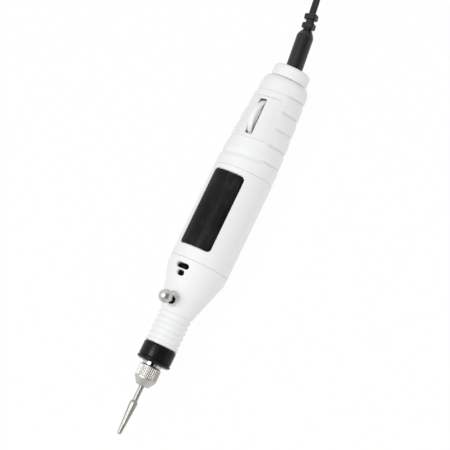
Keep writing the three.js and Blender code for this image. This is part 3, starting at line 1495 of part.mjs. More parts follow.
// The moulded plug body: a cylinder, a shoulder, a neck and two ribs
function plugOvermould() {
  const full = PLUG_RADIUS * 2;
  const shoulder = PLUG_BODY_LENGTH + PLUG_SHOULDER_LENGTH;
  const bendShare = 0.35; // of the shoulder, where it has rounded over
  const narrowedShare = 0.25;
  const heightShare = 0.8;
  const bend = mix(PLUG_BODY_LENGTH, shoulder, bendShare);
  const sections = [
    [0, full - PLUG_EDGE * 2, full - PLUG_EDGE * 2],
    [PLUG_EDGE, full, full],
    [PLUG_BODY_LENGTH, full, full],
    [bend, mix(full, PLUG_NECK_WIDTH, narrowedShare), full * heightShare],
    [shoulder, PLUG_NECK_WIDTH, PLUG_NECK_HEIGHT],
  ];
  let at = shoulder;
  for (let i = 0; i < RELIEF_RIB_COUNT; i++) {
    at += RELIEF_GAP_LENGTH;
    sections.push([at, PLUG_NECK_WIDTH, PLUG_NECK_HEIGHT]);
    sections.push([at + PLUG_EDGE / 2, RELIEF_RIB_WIDTH, RELIEF_RIB_HEIGHT]);
    at += RELIEF_RIB_LENGTH;
    sections.push([at - PLUG_EDGE / 2, RELIEF_RIB_WIDTH, RELIEF_RIB_HEIGHT]);
    sections.push([at, PLUG_NECK_WIDTH, PLUG_NECK_HEIGHT]);
  }
  const rings = sections.map(([distance, width, height]) => {
    const { place, along } = plugLine(distance);
    return levelRing(place, along, width, height, roundShares(SHAFT_SIDES));
  });
  const socket = ring(
    plugFront - OVERRUN,
    plugFront + PLUG_ROOT_DEPTH + SEAT_GAP,
    PLUG_BARREL_RADIUS + SEAT_GAP,
    0,
    SHAFT_SIDES,
  );
  return piece("plug_overmould", loft(rings).subtract(socket), "charcoal");
}

// A smooth curve whose frames stay level, so that a flat cord lies flat
class LevelCurve extends THREE.CatmullRomCurve3 {
  computeFrenetFrames(steps) {
    const frames = { tangents: [], normals: [], binormals: [] };
    for (let i = 0; i <= steps; i++) {
      const along = this.getTangentAt(i / steps);
      const side = new THREE.Vector3(0, 0, 1).cross(along).normalize();
      frames.tangents.push(along);
      frames.normals.push(along.clone().cross(side));
      frames.binormals.push(side);
    }
    return frames;
  }
}

// A free stretch of the cord, through points chosen by hand
function cordStretch(name, points) {
  const path = new LevelCurve(points.map((p) => new THREE.Vector3(...p)));
  const corners = CORD_SECTION_SHARES.map(
    ([across, above]) =>
      new THREE.Vector2((above * CORD_THICKNESS) / 2, (across * CORD_WIDTH) / 2),
  );
  const steps = Math.round(path.getLength() / CORD_STEP);
  const settings = { steps, bevelEnabled: false, extrudePath: path };
  const made = new THREE.ExtrudeGeometry(new THREE.Shape(corners), settings);
  return piece(name, solid(made), "charcoal");
}

// The coil's middle: its first loop goes on from the lead's last point
const coilStartRadius = COIL_RADIUS + (COIL_PITCH * COIL_LAYER_TURNS) / 2;
const [leadEndX, leadEndY] = LEAD_POINTS[LEAD_POINTS.length - 1];
const coilMiddle = [leadEndX + SEAT_GAP, leadEndY - coilStartRadius];

// A place on the coil, by the count of turns wound so far
function coilPlace(turns) {
  const layer = Math.min(Math.floor(turns / COIL_LAYER_TURNS), COIL_LAYERS - 1);
  const within = turns - layer * COIL_LAYER_TURNS;
  const inward = layer % 2 ? COIL_LAYER_TURNS - within : within;
  const radius = coilStartRadius - COIL_PITCH * inward;
  let climbed = 0;
  for (let k = 1; k < COIL_LAYERS; k++) {
    const at = k * COIL_LAYER_TURNS;
    climbed += smooth(turns, at - COIL_CLIMB_TURNS / 2, at + COIL_CLIMB_TURNS / 2);
  }
  const angle = turns * Math.PI * 2;
  return new THREE.Vector3(
    coilMiddle[0] + radius * Math.sin(angle),
    coilMiddle[1] + radius * Math.cos(angle),
    COIL_LIFT + CORD_THICKNESS / 2 + climbed * COIL_LAYER_STEP,
  );
}

// The least gap between stretches of the coil that lie half a turn or more apart
function coilGap(points) {
  const apart = Math.round(COIL_LOOP_STEPS / 2);
  let least = Infinity;
  points.forEach((a, i) => {
    points.slice(i + apart).forEach((b) => {
      const level = Math.hypot(a.x - b.x, a.y - b.y) - CORD_WIDTH;
      const rise = Math.abs(a.z - b.z) - CORD_THICKNESS;
      const gap = level > 0 && rise > 0 ? Math.hypot(level, rise) : Math.max(level, rise);
      least = Math.min(least, gap);
    });
  });
  return least;
}

// The coil: one unbroken flat cord through all its loops
function cordCoil() {
  const turns = COIL_LAYERS * COIL_LAYER_TURNS;
  const steps = Math.round(turns * COIL_LOOP_STEPS);
  const points = Array.from({ length: steps + 1 }, (_, i) => coilPlace((i / steps) * turns));
  const rings = points.map((place, i) => {
    const along = new THREE.Vector3(1, 0, 0);
    if (i > 0 && i < steps) along.subVectors(points[i + 1], points[i - 1]).normalize();
    return levelRing(place, along, CORD_WIDTH, CORD_THICKNESS, CORD_SECTION_SHARES);
  });
  console.log("least gap between the coil's turns, mm: " + coilGap(points).toFixed(2));
  return piece("cord_coil", loft(rings), "charcoal");
}

// The tie: a flat band round the coil's bundle
function coilTie() {
  const spread = COIL_LAYER_TURNS * COIL_PITCH + CORD_WIDTH;
  const pile = (COIL_LAYERS - 1) * COIL_LAYER_STEP + CORD_THICKNESS;
  const hole = roundedRectangle(spread + SEAT_GAP * 4, pile + SEAT_GAP * 2, CORD_THICKNESS);
  const band = roundedRectangle(
    spread + SEAT_GAP * 4 + TIE_THICKNESS * 2,
    pile + SEAT_GAP * 2 + TIE_THICKNESS * 2,
    CORD_THICKNESS + TIE_THICKNESS,
  );
  const outer = raised(band, 0, 0, -TIE_WIDTH / 2, TIE_WIDTH / 2);
  const inner = raised(hole, 0, 0, -TIE_WIDTH, TIE_WIDTH);
  const middle = COIL_LIFT - SEAT_GAP - TIE_THICKNESS + pile / 2 + SEAT_GAP + TIE_THICKNESS;
  const made = outer
    .subtract(inner)
    .rotate([90, 0, 0])
    .translate([COIL_RADIUS, 0, middle])
    .rotate([0, 0, TIE_TURN])
    .translate([coilMiddle[0], coilMiddle[1], 0]);
  return piece("coil_tie", made, "black");
}

const adapterMiddle = ADAPTER_START + ADAPTER_LENGTH / 2;

// A half of the adapter's case: an outline with a bevel round its outer face
function caseHalf(depth) {
  const outline = roundedRectangle(
    ADAPTER_LENGTH - ADAPTER_BEVEL * 2,
    ADAPTER_WIDTH - ADAPTER_BEVEL * 2,
    ADAPTER_CORNER - ADAPTER_BEVEL,
  );
  const settings = {
    depth: depth - ADAPTER_BEVEL,
    bevelEnabled: true,
    bevelThickness: ADAPTER_BEVEL,
    bevelSize: ADAPTER_BEVEL,
    bevelSegments: 1,
    curveSegments: CORNER_STEPS,
  };
  const whole = solid(new THREE.ExtrudeGeometry(outline, settings));
  const reach = ADAPTER_LENGTH;
  const below = box([-reach, -reach, -reach], [reach, reach, 0]);
  return whole.subtract(below);
}

// The wall adapter: two case halves, two blades and the cord's relief
function wallAdapter() {
  const backDepth = ADAPTER_BACK_DEPTH - SEAT_GAP / 2;
  const frontDepth = ADAPTER_DEPTH - ADAPTER_BACK_DEPTH - SEAT_GAP / 2;
  const back = caseHalf(backDepth)
    .rotate([180, 0, 0])
    .translate([adapterMiddle, ADAPTER_ACROSS, backDepth]);
  let front = caseHalf(frontDepth).translate([
    adapterMiddle,
    ADAPTER_ACROSS,
    ADAPTER_DEPTH - frontDepth,
  ]);
  const bladeMiddle = ADAPTER_START + ADAPTER_LENGTH - BLADE_END_DISTANCE;
  const blades = ["left", "right"].map((side, i) => {
    const y = ADAPTER_ACROSS + (i ? -1 : 1) * (BLADE_SPACING / 2);
    const shape = new THREE.Shape();
    const half = BLADE_WIDTH / 2;
    const low = ADAPTER_DEPTH - BLADE_ROOT;
    const high = ADAPTER_DEPTH + BLADE_LENGTH;
    shape.moveTo(-half, low);
    shape.lineTo(half, low);
    shape.lineTo(half, high - BLADE_CHAMFER);
    shape.lineTo(half - BLADE_CHAMFER, high);
    shape.lineTo(BLADE_CHAMFER - half, high);
    shape.lineTo(-half, high - BLADE_CHAMFER);
    const settings = { depth: BLADE_THICKNESS, bevelEnabled: false };
    const blade = new THREE.ExtrudeGeometry(shape, settings).rotateX(Math.PI / 2);
    blade.translate(bladeMiddle, y + BLADE_THICKNESS / 2, 0);
    const width = half + SEAT_GAP;
    const thick = BLADE_THICKNESS / 2 + SEAT_GAP;
    const pocket = box(
      [bladeMiddle - width, y - thick, low - SEAT_GAP],
      [bladeMiddle + width, y + thick, high],
    );
    front = front.subtract(pocket);
    return piece("adapter_blade_" + side, solid(blade), "nickel");
  });
  const reliefEnd = ADAPTER_START - SEAT_GAP;
  const along = new THREE.Vector3(1, 0, 0);
  const flareShare = 0.75; // of the relief's length, where its flare begins
  const flareWidthShare = 0.6;
  const flareHeightShare = 0.8;
  const flareWidth = mix(ADAPTER_RELIEF_END_WIDTH, ADAPTER_RELIEF_WIDTH, flareWidthShare);
  const relief = loft(
    [
      [0, ADAPTER_RELIEF_END_WIDTH, ADAPTER_RELIEF_END_HEIGHT],
      [flareShare, flareWidth, ADAPTER_RELIEF_HEIGHT * flareHeightShare],
      [1, ADAPTER_RELIEF_WIDTH, ADAPTER_RELIEF_HEIGHT],
    ].map(([share, width, height]) => {
      const x = mix(reliefEnd - ADAPTER_RELIEF_LENGTH, reliefEnd, share);
      const place = new THREE.Vector3(x, ADAPTER_ACROSS, ADAPTER_BACK_DEPTH);
      return levelRing(place, along, width, height, roundShares(SMALL_SIDES));
    }),
  );
  return [
    piece("adapter_back", back, "charcoal"),
    piece("adapter_front", front, "charcoal"),
    piece("adapter_relief", relief, "charcoal"),
    ...blades,
  ];
}

// The pen lies on its barrel, and its middle is over the origin
const pen = new THREE.Group();
pen.position.set(-penLength / 2, 0, barrelRadius);
pen.add(
  engravingBit(),
  colletNut(),
  collet(),
  spindle(),
  ...bearing("front", frontBearing),
  ...bearing("rear", rearBearing),
  retainerClip(),
  noseCap(),
  noseHousing(),
  lockPin(),
  lockKnob(),
  ...lockGuide(),
  lockSpring(),
  coupling(),
  ...motorMount(),
  ...motorCan(),
  motorEndCap(),
  ...motorMagnets(),
  motorCore(),
  ...motorWindings(),
  ...motorShaft(),
  ...motorBrushes(),
  barrelHousing(),
  labelPlate(),
  gripHousing(),
  wheelCover(),
  ...speedWheel(),
  potentiometer(),
  circuitBoard(),
  ...motorWires(),
  rearCap(),
  ...powerSocket(),
  contactBarrel(),
  plugOvermould(),
);

const lead = new THREE.Group();
lead.add(
  cordStretch("cord_lead", LEAD_POINTS),
  cordCoil(),
  cordStretch("cord_tail", TAIL_POINTS),
  coilTie(),
  ...wallAdapter(),
);

const engravingPen = new THREE.Group();
engravingPen.add(pen, lead);

export default engravingPen;
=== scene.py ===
"""Electric engraving pen on its power lead: fine surfaces, finishes, studio and camera.

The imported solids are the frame. What shows of them is made again as surfaces worked out on grids
of two parameters. Shapes are in millimetres: a station counts from the bit's tip along the pen,
a turn counts round its axis from the top, and every grid ends as places in the shared frame.
"""

import json
import math
import types

import bpy
import numpy as np
from mathutils import Matrix, Vector


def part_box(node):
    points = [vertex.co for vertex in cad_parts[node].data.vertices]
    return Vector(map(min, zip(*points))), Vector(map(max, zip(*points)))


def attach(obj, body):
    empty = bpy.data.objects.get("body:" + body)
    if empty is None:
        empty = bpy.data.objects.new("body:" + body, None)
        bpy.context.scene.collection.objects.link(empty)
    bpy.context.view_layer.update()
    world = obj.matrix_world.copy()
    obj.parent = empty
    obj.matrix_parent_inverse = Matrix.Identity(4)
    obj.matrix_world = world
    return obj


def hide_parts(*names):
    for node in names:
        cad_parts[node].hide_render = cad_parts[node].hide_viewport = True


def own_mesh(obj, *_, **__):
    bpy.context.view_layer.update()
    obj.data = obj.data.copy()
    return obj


bl_info = {
    "name": "Electric engraving pen",
    "version": (1, 0, 0),
    "blender": (4, 5, 0),
    "location": "View3D > Sidebar > Engraving pen",
    "description": "Builds the pen's surfaces, lead, finishes and studio on its packed solids",
    "category": "Object",
}

MM = 0.001

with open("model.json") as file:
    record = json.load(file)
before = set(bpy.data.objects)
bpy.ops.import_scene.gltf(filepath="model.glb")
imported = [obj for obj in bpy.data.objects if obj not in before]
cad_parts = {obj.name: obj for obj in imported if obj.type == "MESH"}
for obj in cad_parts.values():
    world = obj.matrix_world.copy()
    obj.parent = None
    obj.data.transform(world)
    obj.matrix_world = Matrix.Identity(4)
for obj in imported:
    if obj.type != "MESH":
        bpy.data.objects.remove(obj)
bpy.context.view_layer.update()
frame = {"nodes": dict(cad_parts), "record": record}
RECORD = frame["record"]
SLOTS = {part["node"]: part["material_slot"] for part in RECORD["subparts"]}
BODIES = {node: body for body, nodes in RECORD["behaviour"]["bodies"].items() for node in nodes}
JOINTS = {joint["name"]: joint for joint in RECORD["behaviour"]["joints"]}


def corner(node, end):
    """A node's lowest (end 0) or highest (end 1) corner, in millimetres."""
    return np.array(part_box(node)[end]) / MM


def span(node):
    """A node's lowest corner, its highest corner and its middle, in millimetres."""
    low, high = corner(node, 0), corner(node, 1)
    return low, high, (low + high) / 2


TIP_X = corner("engraving_bit", 0)[0]
AXIS_Z = span("barrel_housing")[2][2]


def reach(node, end):
    """The station of a node's front (end 0) or rear (end 1)."""
    return float(corner(node, end)[0] - TIP_X)


# Clearances, slants of the seams, grooves and slot, and shifts across the pen
SEAT_GAP = 0.3
SEAM_GAP = 0.06
SEAM_SLANT = math.tan(math.radians(1.7))
GROOVE_SLANT = math.tan(math.radians(4.8))
SLOT_SLANT = math.tan(math.radians(3.5))
PLUG_LEAN = math.radians(7.3)
PLUG_BEND = math.radians(6)
PLATE_SHIFT = -0.25
COVER_SHIFT = -1.1
SLOT_SHIFT = 0.1

# Places along the pen, from the solids
BARREL_LENGTH = 46.2
GROOVE_START = 6.9
PLATE_SETBACK = 0.3
NUT_FRONT = reach("collet_nut", 0)
NUT_REAR = reach("collet_nut", 1)
CAP_FRONT = reach("nose_cap", 0)
NECK_FRONT = reach("nose_cap", 1) + SEAT_GAP
NOSE_SEAM = reach("barrel_housing", 0) - SEAT_GAP / 2
GRIP_SEAM = NOSE_SEAM + BARREL_LENGTH
GRIP_REAR = reach("grip_housing", 1)
PLATEAU_END = 168.9
PEN_END = reach("rear_cap", 1)
LOCK_STATION = span("lock_knob")[2][0] - TIP_X
LOCK_TRAVEL = JOINTS["lock_press"]["range_m"][1] / MM
WHEEL_STATION = span("speed_wheel")[2][0] - TIP_X
WHEEL_HEIGHT = span("speed_wheel")[2][2] - AXIS_Z
LABEL_MIDDLE = span("label_plate")[2][0] - TIP_X - PLATE_SETBACK

# The lead's route, listed in millimetres in the shared frame
LEAD_POINTS = [
    (118.15, 3.8, 14),
    (122, 4.5, 13.9),
    (126.5, 5.6, 13.15),
    (131, 7.4, 11.6),
    (136, 10.1, 9),
    (141, 12.1, 6.2),
    (146, 13.3, 3.9),
    (151, 14.2, 2.5),
    (156, 14.9, 1.9),
    (161, 15.3, 1.75),
    (165.7, 15.5, 1.75),
]
TAIL_POINTS = [
    (166.3, 15.5, 9.25),
    (171, 15.3, 9),
    (176, 14.2, 7.6),
    (181, 12, 5.2),
    (185.8, 8.9, 3.2),
    (189.5, 5.8, 2.15),
    (193, 2.8, 2.4),
    (196.6, 0.3, 4),
    (200.3, -1.6, 6.2),
    (204.2, -2.75, 8.1),
    (208.2, -3, 9),
    (215, -3, 9),
    (222, -3, 9),
    (228, -3, 9),
]


def length_of(name, millimetres, text):
    """A length that a user can change."""
    return bpy.props.FloatProperty(
        name=name, description=text, default=millimetres * MM, min=0, unit="LENGTH", precision=5
    )


def colour_of(name, colour, text):
    """A colour that a user can change."""
    return bpy.props.FloatVectorProperty(
        name=name, description=text, default=colour, min=0, max=1, size=3, subtype="COLOR"
    )


class EngraverMetal(bpy.types.PropertyGroup):
    """Sizes of the bit, the nut and the spindle's collar."""

    tip_start: length_of("Tip start", 1.4, "The frame's tip to the ground tip")
    burr_length: length_of("Burr length", 16.9, "The frame's tip to the burr's widest place")
    flute_depth: length_of("Flute depth", 0.1, "Depth of the burr's fine flutes")
    burr_radius: length_of("Burr radius", 1.87, "Radius at the burr's widest place")
    shoulder_length: length_of("Shoulder length", 1.1, "The burr's widest place to the shank")
    tip_radius: length_of("Tip radius", 1.0, "Radius of the burr's round tip")
    shank_radius: length_of("Shank radius", 1.175, "Radius of the bit's straight shank")
    nut_radius: length_of("Nut radius", 5.1, "Radius over the nut's knurl")
    nut_face: length_of("Nut face radius", 2.85, "Radius of the nut's front face")
    nut_cone: length_of("Nut cone length", 3.3, "Length of the nut's cone")
    nut_bore: length_of("Nut bore", 1.65, "Radius of the hole in the nut's face")
    nut_thread: length_of("Nut thread", 4.3, "Radius of the nut's bore over the spindle")
    nut_shift: length_of("Nut shift", 1.0, "How far the nut stands behind its solid")
    knurl_depth: length_of("Knurl depth", 0.24, "Depth of the knurl's grooves")
    knurl_margin: length_of("Knurl margin", 0.45, "Plain edge at each end of the knurl")
    knurl_columns: bpy.props.IntProperty(
        name="Knurl columns", description="Grooves round the nut", default=34, min=8
    )
    knurl_rows: bpy.props.IntProperty(
        name="Knurl rows", description="Rows that the grooves are cut into", default=9, min=1
    )
    thread_radius: length_of("Thread radius", 4.0, "Radius of the spindle in the nut")
    journal_radius: length_of("Journal radius", 3.0, "Radius of the spindle in its bearings")
    collar_radius: length_of("Collar radius", 4.45, "Radius of the spindle's collar")
    collar_slot: length_of("Collar slot width", 1.35, "Width of the collar's two slots")
    pin_hole: length_of("Pin hole radius", 1.5, "Radius of the hole that the lock pin enters")


class EngraverNose(bpy.types.PropertyGroup):
    """Sizes of the nose cap, the ribbed neck, the cone and the spindle lock."""

    neck_radius: length_of("Neck radius", 7.75, "Radius of the neck and the cap")
    neck_length: length_of("Neck length", 16.0, "Length of the ribbed neck")
    cone_length: length_of("Cone length", 21.5, "Length of the cone with its round")
    cone_round: length_of("Cone round", 1.6, "Length of the round between cone and band")
    band_radius: length_of("Band radius", 13.9, "Outer radius at the barrel")
    bore_radius: length_of("Bore radius", 12.3, "Inner radius at the barrel")
    lip: length_of("Cap lip", 0.3, "How far the cap's lip stands out")
    rib_start: length_of("Rib start", 2.3, "The neck's front to the first groove")
    rib_pitch: length_of("Rib pitch", 2.62, "Distance between the neck's grooves")
    rib_depth: length_of("Rib depth", 0.55, "Depth of the neck's grooves")
    rib_width: length_of("Rib groove width", 2.62, "Width of the neck's grooves")
    rib_count: bpy.props.IntProperty(
        name="Rib count", description="Grooves round the neck", default=6, min=0
    )
    dimple_radius: length_of("Dimple radius", 3.9, "Radius of the spot face under the knob")
    dimple_height: length_of("Dimple height", 8.2, "Height of the spot face over the axis")
    boss_radius: length_of("Boss radius", 2.86, "Radius of the boss round the knob's neck")
    boss_height: length_of("Boss height", 9.03, "Height of the boss over the axis")
    well_radius: length_of("Well radius", 1.57, "Radius of the well in the boss")
    well_height: length_of("Well height", 6.6, "Height of the well's floor over the axis")
    ball_radius: length_of("Knob radius", 3.15, "Radius of the lock's ball knob")
    knob_neck: length_of("Knob neck", 1.25, "Radius of the neck under the ball")
    ring_radius: length_of("Ring radius", 1.9, "Radius of the ring round the knob's neck")
    ring_bore: length_of("Ring bore", 1.4, "Radius of the ring's hole")
    vent_start: length_of("Vent start", 15.1, "The cone's front to the first vent")
    vent_width: length_of("Vent width", 2.6, "Width of each vent slot along the pen")
    vent_gap: length_of("Vent gap", 0.6, "Distance between the two vents")
    spring_wire: length_of("Spring wire radius", 0.18, "Radius of the lock spring's wire")
    spring_turns: bpy.props.IntProperty(
        name="Spring turns", description="Turns of the lock's spring", default=4, min=1
    )


class EngraverBarrel(bpy.types.PropertyGroup):
    """Sizes of the barrel and its plate."""

    radius: length_of("Barrel radius", 14.0, "Outer radius of the barrel")
    wall: length_of("Barrel wall", 1.4, "Thickness of the barrel's wall")
    bed_depth: length_of("Plate bed depth", 0.88, "Depth of the bed that holds the plate")
    plate_length: length_of("Plate length", 37.3, "Length of the curved plate")
    plate_width: length_of("Plate width", 15.9, "Width of the curved plate, straight across")
    plate_corner: length_of("Plate corner", 1.8, "Corner radius of the plate")


class EngraverGrip(bpy.types.PropertyGroup):
    """Sizes of the grip, the wheel and its cover."""

    front_radius: length_of("Grip front radius", 13.9, "Radius at the barrel")
    rear_radius: length_of("Grip rear radius", 11.0, "Radius where the round end begins")
    swell: length_of("Grip swell", 0.25, "How far the taper swells at its middle")
    end_radius: length_of("Grip end radius", 8.9, "Radius at the rear cap")
    end_length: length_of("Grip end length", 5.2, "Length of the round end")
    groove_pitch: length_of("Groove pitch", 8.12, "Distance between the grip's grooves")
    groove_depth: length_of("Groove depth", 1.05, "Depth of the grip's grooves")
    groove_width: length_of("Groove width", 2.0, "Width of the grip's grooves")
    groove_count: bpy.props.IntProperty(
        name="Groove count", description="Grooves round the grip", default=5, min=0
    )
    crown: length_of("Segment crown", 0.2, "How far a field swells between two grooves")
    valley_width: length_of("Valley width", 2.2, "Half width of the valley over the top")
    valley_depth: length_of("Valley depth", 0.8, "Depth of the valley over the top")
    bore_radius: length_of("Grip bore", 12.3, "Inner radius of the grip's front edge")
    bed_gap: length_of("Bed gap", 0.07, "Gap round the wheel's cover")
    bed_depth: length_of("Bed depth", 1.5, "Depth of the bed under the wheel's cover")
    cover_length: length_of("Cover length", 20.7, "Length of the wheel's cover")
    cover_width: length_of("Cover width", 14.8, "Width of the wheel's cover")
    slot_width: length_of("Slot width", 3.8, "Width of the slot for the wheel")
    wheel_radius: length_of("Wheel radius", 9.6, "Radius of the thumb wheel")
    wheel_teeth: bpy.props.IntProperty(
        name="Wheel teeth", description="Ridges round the thumb wheel", default=36, min=8
    )
    tooth_depth: length_of("Tooth depth", 0.1, "Depth between the wheel's ridges")
    cap_radius: length_of("Rear cap radius", 8.7, "Radius of the rear cap")


class EngraverLead(bpy.types.PropertyGroup):
    """Sizes of the plug, the cord, its coil and the adapter."""

    plug_radius: length_of("Plug radius", 3.95, "Radius of the plug's moulded body")
    plug_length: length_of("Plug length", 15.3, "Length of the plug's straight body")
    rib_length: length_of("Relief rib length", 2.6, "Length of each strain-relief rib")
    rib_gap: length_of("Relief rib gap", 1.9, "Distance between the two ribs")
    contact_radius: length_of("Contact radius", 2.75, "Outer radius of the plug's contact")
    contact_bore: length_of("Contact bore", 1.3, "Inner radius of the plug's contact")
    cord_width: length_of("Cord width", 3.4, "Width of the flat cord")
    cord_thickness: length_of("Cord thickness", 1.7, "Thickness of the flat cord")
    coil_radius: length_of("Coil radius", 19.15, "Radius at the middle of the coil's turns")
    coil_pitch: length_of("Coil pitch", 4.25, "Distance between turns in one layer")
    coil_step: length_of("Coil step", 2.5, "Height from one layer to the next")
    coil_lift: length_of("Coil lift", 0.9, "Height of the lowest loop over the floor")
    tie_thickness: length_of("Tie thickness", 0.6, "Thickness of the coil's tie")
    coil_turns: bpy.props.FloatProperty(
        name="Turns in a layer", description="Turns in each layer", default=2.25, min=1
    )
    coil_layers: bpy.props.IntProperty(
        name="Layers", description="Layers of the coil", default=4, min=1
    )
    case_corner: length_of("Case corner", 5.0, "Corner radius of the adapter's case")
    case_bevel: length_of("Case bevel", 1.4, "Round edge of the adapter's case")


class EngraverLook(bpy.types.PropertyGroup):
    """Colours of the finishes that show, and the studio."""

    white: colour_of("White shell", (0.845, 0.853, 0.85), "Glossy white moulded plastic")
    black: colour_of("Black cap", (0.006, 0.006, 0.0065), "Semi-gloss black moulded plastic")
    plate: colour_of("Plate", (0.006, 0.006, 0.0065), "Glossy black plate")
    nickel: colour_of("Nickel", (0.57, 0.56, 0.527), "Nickel plating")
    steel: colour_of("Steel", (0.40, 0.39, 0.365), "Ground steel")
    cord: colour_of("Cord", (0.010, 0.0105, 0.0095), "Charcoal flexible jacket")
    adapter: colour_of("Adapter", (0.030, 0.030, 0.031), "Charcoal moulded case")
    distance: bpy.props.FloatProperty(
        name="Camera distance", description="Camera to the pen", default=1.0, unit="LENGTH"
    )
    focal: bpy.props.FloatProperty(
        name="Focal length", description="Focal length in millimetres", default=177.1
    )
    key_power: bpy.props.FloatProperty(
        name="Key light", description="Power of the main soft light", default=5.7, unit="POWER"
    )
    fill_power: bpy.props.FloatProperty(
        name="Fill light", description="Power of the second light", default=2.3, unit="POWER"
    )
    ambient: bpy.props.FloatProperty(
        name="Ambient", description="Strength of the light from all round", default=0.5
    )


def sizes_of(group):
    """A group's lengths as plain numbers in millimetres, and its other values as they are."""
    kinds = group.bl_rna.properties
    found = types.SimpleNamespace()
    for key in group.__annotations__:
        value = getattr(group, key)
        setattr(found, key, value / MM if kinds[key].unit == "LENGTH" else value)
    return found


# Arithmetic on whole arrays


def smooth(value, low, high):
    """0 below low, 1 above high, and 3t^2 - 2t^3 between them."""
    share = np.clip((np.asarray(value, float) - low) / (high - low), 0, 1)
    return share * share * (3 - 2 * share)


def mix(first, second, share):
    """The first value at share 0, and the second at share 1."""
    return first + (second - first) * share


def spaced(*stretches):
    """Places in order along stretches of (start, end, step), with doubles dropped."""
    runs = [np.linspace(a, b, max(2, round(abs(b - a) / step) + 1)) for a, b, step in stretches]
    return np.unique(np.round(np.concatenate(runs), 6))


def softened(corners, radius, steps=3, closed=True):
    """A profile with round corners: each corner C becomes the parabola (1-t)^2 A + 2t(1-t) C +
    t^2 B, from a point A at most `radius` before it to a point B as far after it."""
    here = np.array(corners, float)
    back, ahead = np.roll(here, 1, 0) - here, np.roll(here, -1, 0) - here
    radius = np.broadcast_to(np.asarray(radius, float), (len(here),))
    reached = [
        way * np.minimum(radius / np.maximum(np.linalg.norm(way, axis=1), 1e-9), 0.45)[:, None]
        for way in (back, ahead)
    ]
    t = np.linspace(0, 1, steps + 1)[None, :, None]
    start, end = here + reached[0], here + reached[1]
    curve = (1 - t) ** 2 * start[:, None] + 2 * t * (1 - t) * here[:, None] + t**2 * end[:, None]
    if closed:
        return curve.reshape(-1, 2)
    return np.vstack([here[:1], curve[1:-1].reshape(-1, 2), here[-1:]])


def refined(profile, step, low=-math.inf, high=math.inf, closed=True):
    """The profile with more points, at most `step` apart where its station is in the range."""
    line = np.vstack([profile, profile[:1]]) if closed else np.asarray(profile)
    run = run_along(line)
    more = np.arange(0, run[-1], step)
    station = np.interp(more, run, line[:, 0])
    more = more[(station > low) & (station < high)]
    more = more[np.abs(more[:, None] - run[None, :]).min(axis=1) > step * 0.3]
    at = np.sort(np.concatenate([run[:-1] if closed else run, more]))
    return sampled(line, run, at)


def pad_distance(x, y, length, width, rounding):
    """Signed distance to a rectangle with round corners, negative inside it."""
    qx = np.abs(x) - (length / 2 - rounding)
    qy = np.abs(y) - (width / 2 - rounding)
    outside = np.hypot(np.maximum(qx, 0), np.maximum(qy, 0))
    return outside + np.minimum(np.maximum(qx, qy), 0) - rounding


def pad_outline(length, width, rounding, step=0.3):
    """Points round a rectangle with round corners, at even distances, counter-clockwise."""
    turn = np.linspace(0, math.pi / 2, 9)
    quarter = np.stack([np.cos(turn), np.sin(turn)], axis=1) * rounding
    x, y = length / 2 - rounding, width / 2 - rounding
    arcs = [
        quarter + (x, y),
        quarter[:, ::-1] * (-1, 1) + (-x, y),
        -quarter + (-x, -y),
        quarter[:, ::-1] * (1, -1) + (x, -y),
    ]
    line = np.concatenate(arcs + [arcs[0][:1]])
    run = run_along(line)
    at = np.linspace(0, run[-1], round(run[-1] / step), endpoint=False)
    return sampled(line, run, at)


def run_along(line):
    """The distance along a line, at each of its points."""
    return np.concatenate([[0], np.cumsum(np.linalg.norm(np.diff(line, axis=0), axis=1))])


def sampled(line, run, at):
    """The line's points at the distances `at`."""
    return np.stack([np.interp(at, run, part) for part in line.T], axis=1)


def in_pen(station, across, height):
    """Places of stations, distances across and heights over the pen's axis."""
    return np.stack(np.broadcast_arrays(station + TIP_X, across, height + AXIS_Z), axis=-1)


def around_pen(station, radius, turn):
    """Places on the pen: the distance across is -r sin(turn) and the height is r cos(turn)."""
    return in_pen(station, -radius * np.sin(turn), radius * np.cos(turn))


def around_post(x, y, radius, height, turn):
    """Places round an upright post at (x, y)."""
    radius, height, turn = np.broadcast_arrays(radius, height, turn)
    return np.stack([x + radius * np.cos(turn), y + radius * np.sin(turn), height], axis=-1)


def even_turns(count):
    return np.linspace(0, 2 * math.pi, count, endpoint=False)


def top_turns(across, radius, side_step):
    """Turns for each row: the given places across on top, then even steps round the underside,
    so that columns on top run straight along the pen."""
    top = np.arcsin(np.clip(-np.atleast_2d(across) / radius[:, None], -0.999, 0.999))
    top = np.sort(top, axis=1)
    count = round((2 * math.pi - np.ptp(top[0])) * radius.max() / side_step)
    share = np.linspace(0, 1, count + 1)[None, 1:-1]
    rest = mix(top[:, -1:], top[:, :1] + 2 * math.pi, share)
    return np.concatenate([top, rest], axis=1)


# Meshes


def mesh_piece(name, places, faces, finish, sharp=32, uv=None):
    """A mesh object of places in millimetres. Faces are turned outwards by the sign of their
    volume: the sum of a . (b x c) over the fans of all faces."""
    volume = 0.0
    for group in faces:
        for k in range(1, group.shape[1] - 1):
            a, b, c = places[group[:, 0]], places[group[:, k]], places[group[:, k + 1]]
            volume += np.einsum("ij,ij->i", a, np.cross(b, c)).sum()
    if volume < 0:
        faces = [group[:, ::-1] for group in faces]
        uv = None if uv is None else [group[:, ::-1] for group in uv]
    mesh = bpy.data.meshes.new(name)
    mesh.from_pydata((places * MM).tolist(), [], [f for group in faces for f in group.tolist()])
    if uv is not None:
        layer = mesh.uv_layers.new(name="Surface")
        flat = np.concatenate([group.reshape(-1, 2) for group in uv])
        layer.data.foreach_set("uv", flat.astype(np.float32).ravel())
    mesh.shade_smooth()
    mesh.set_sharp_from_angle(angle=math.radians(sharp))
    mesh.materials.append(finish)
    piece = bpy.data.objects.new(name, mesh)
    bpy.context.scene.collection.objects.link(piece)
    return piece


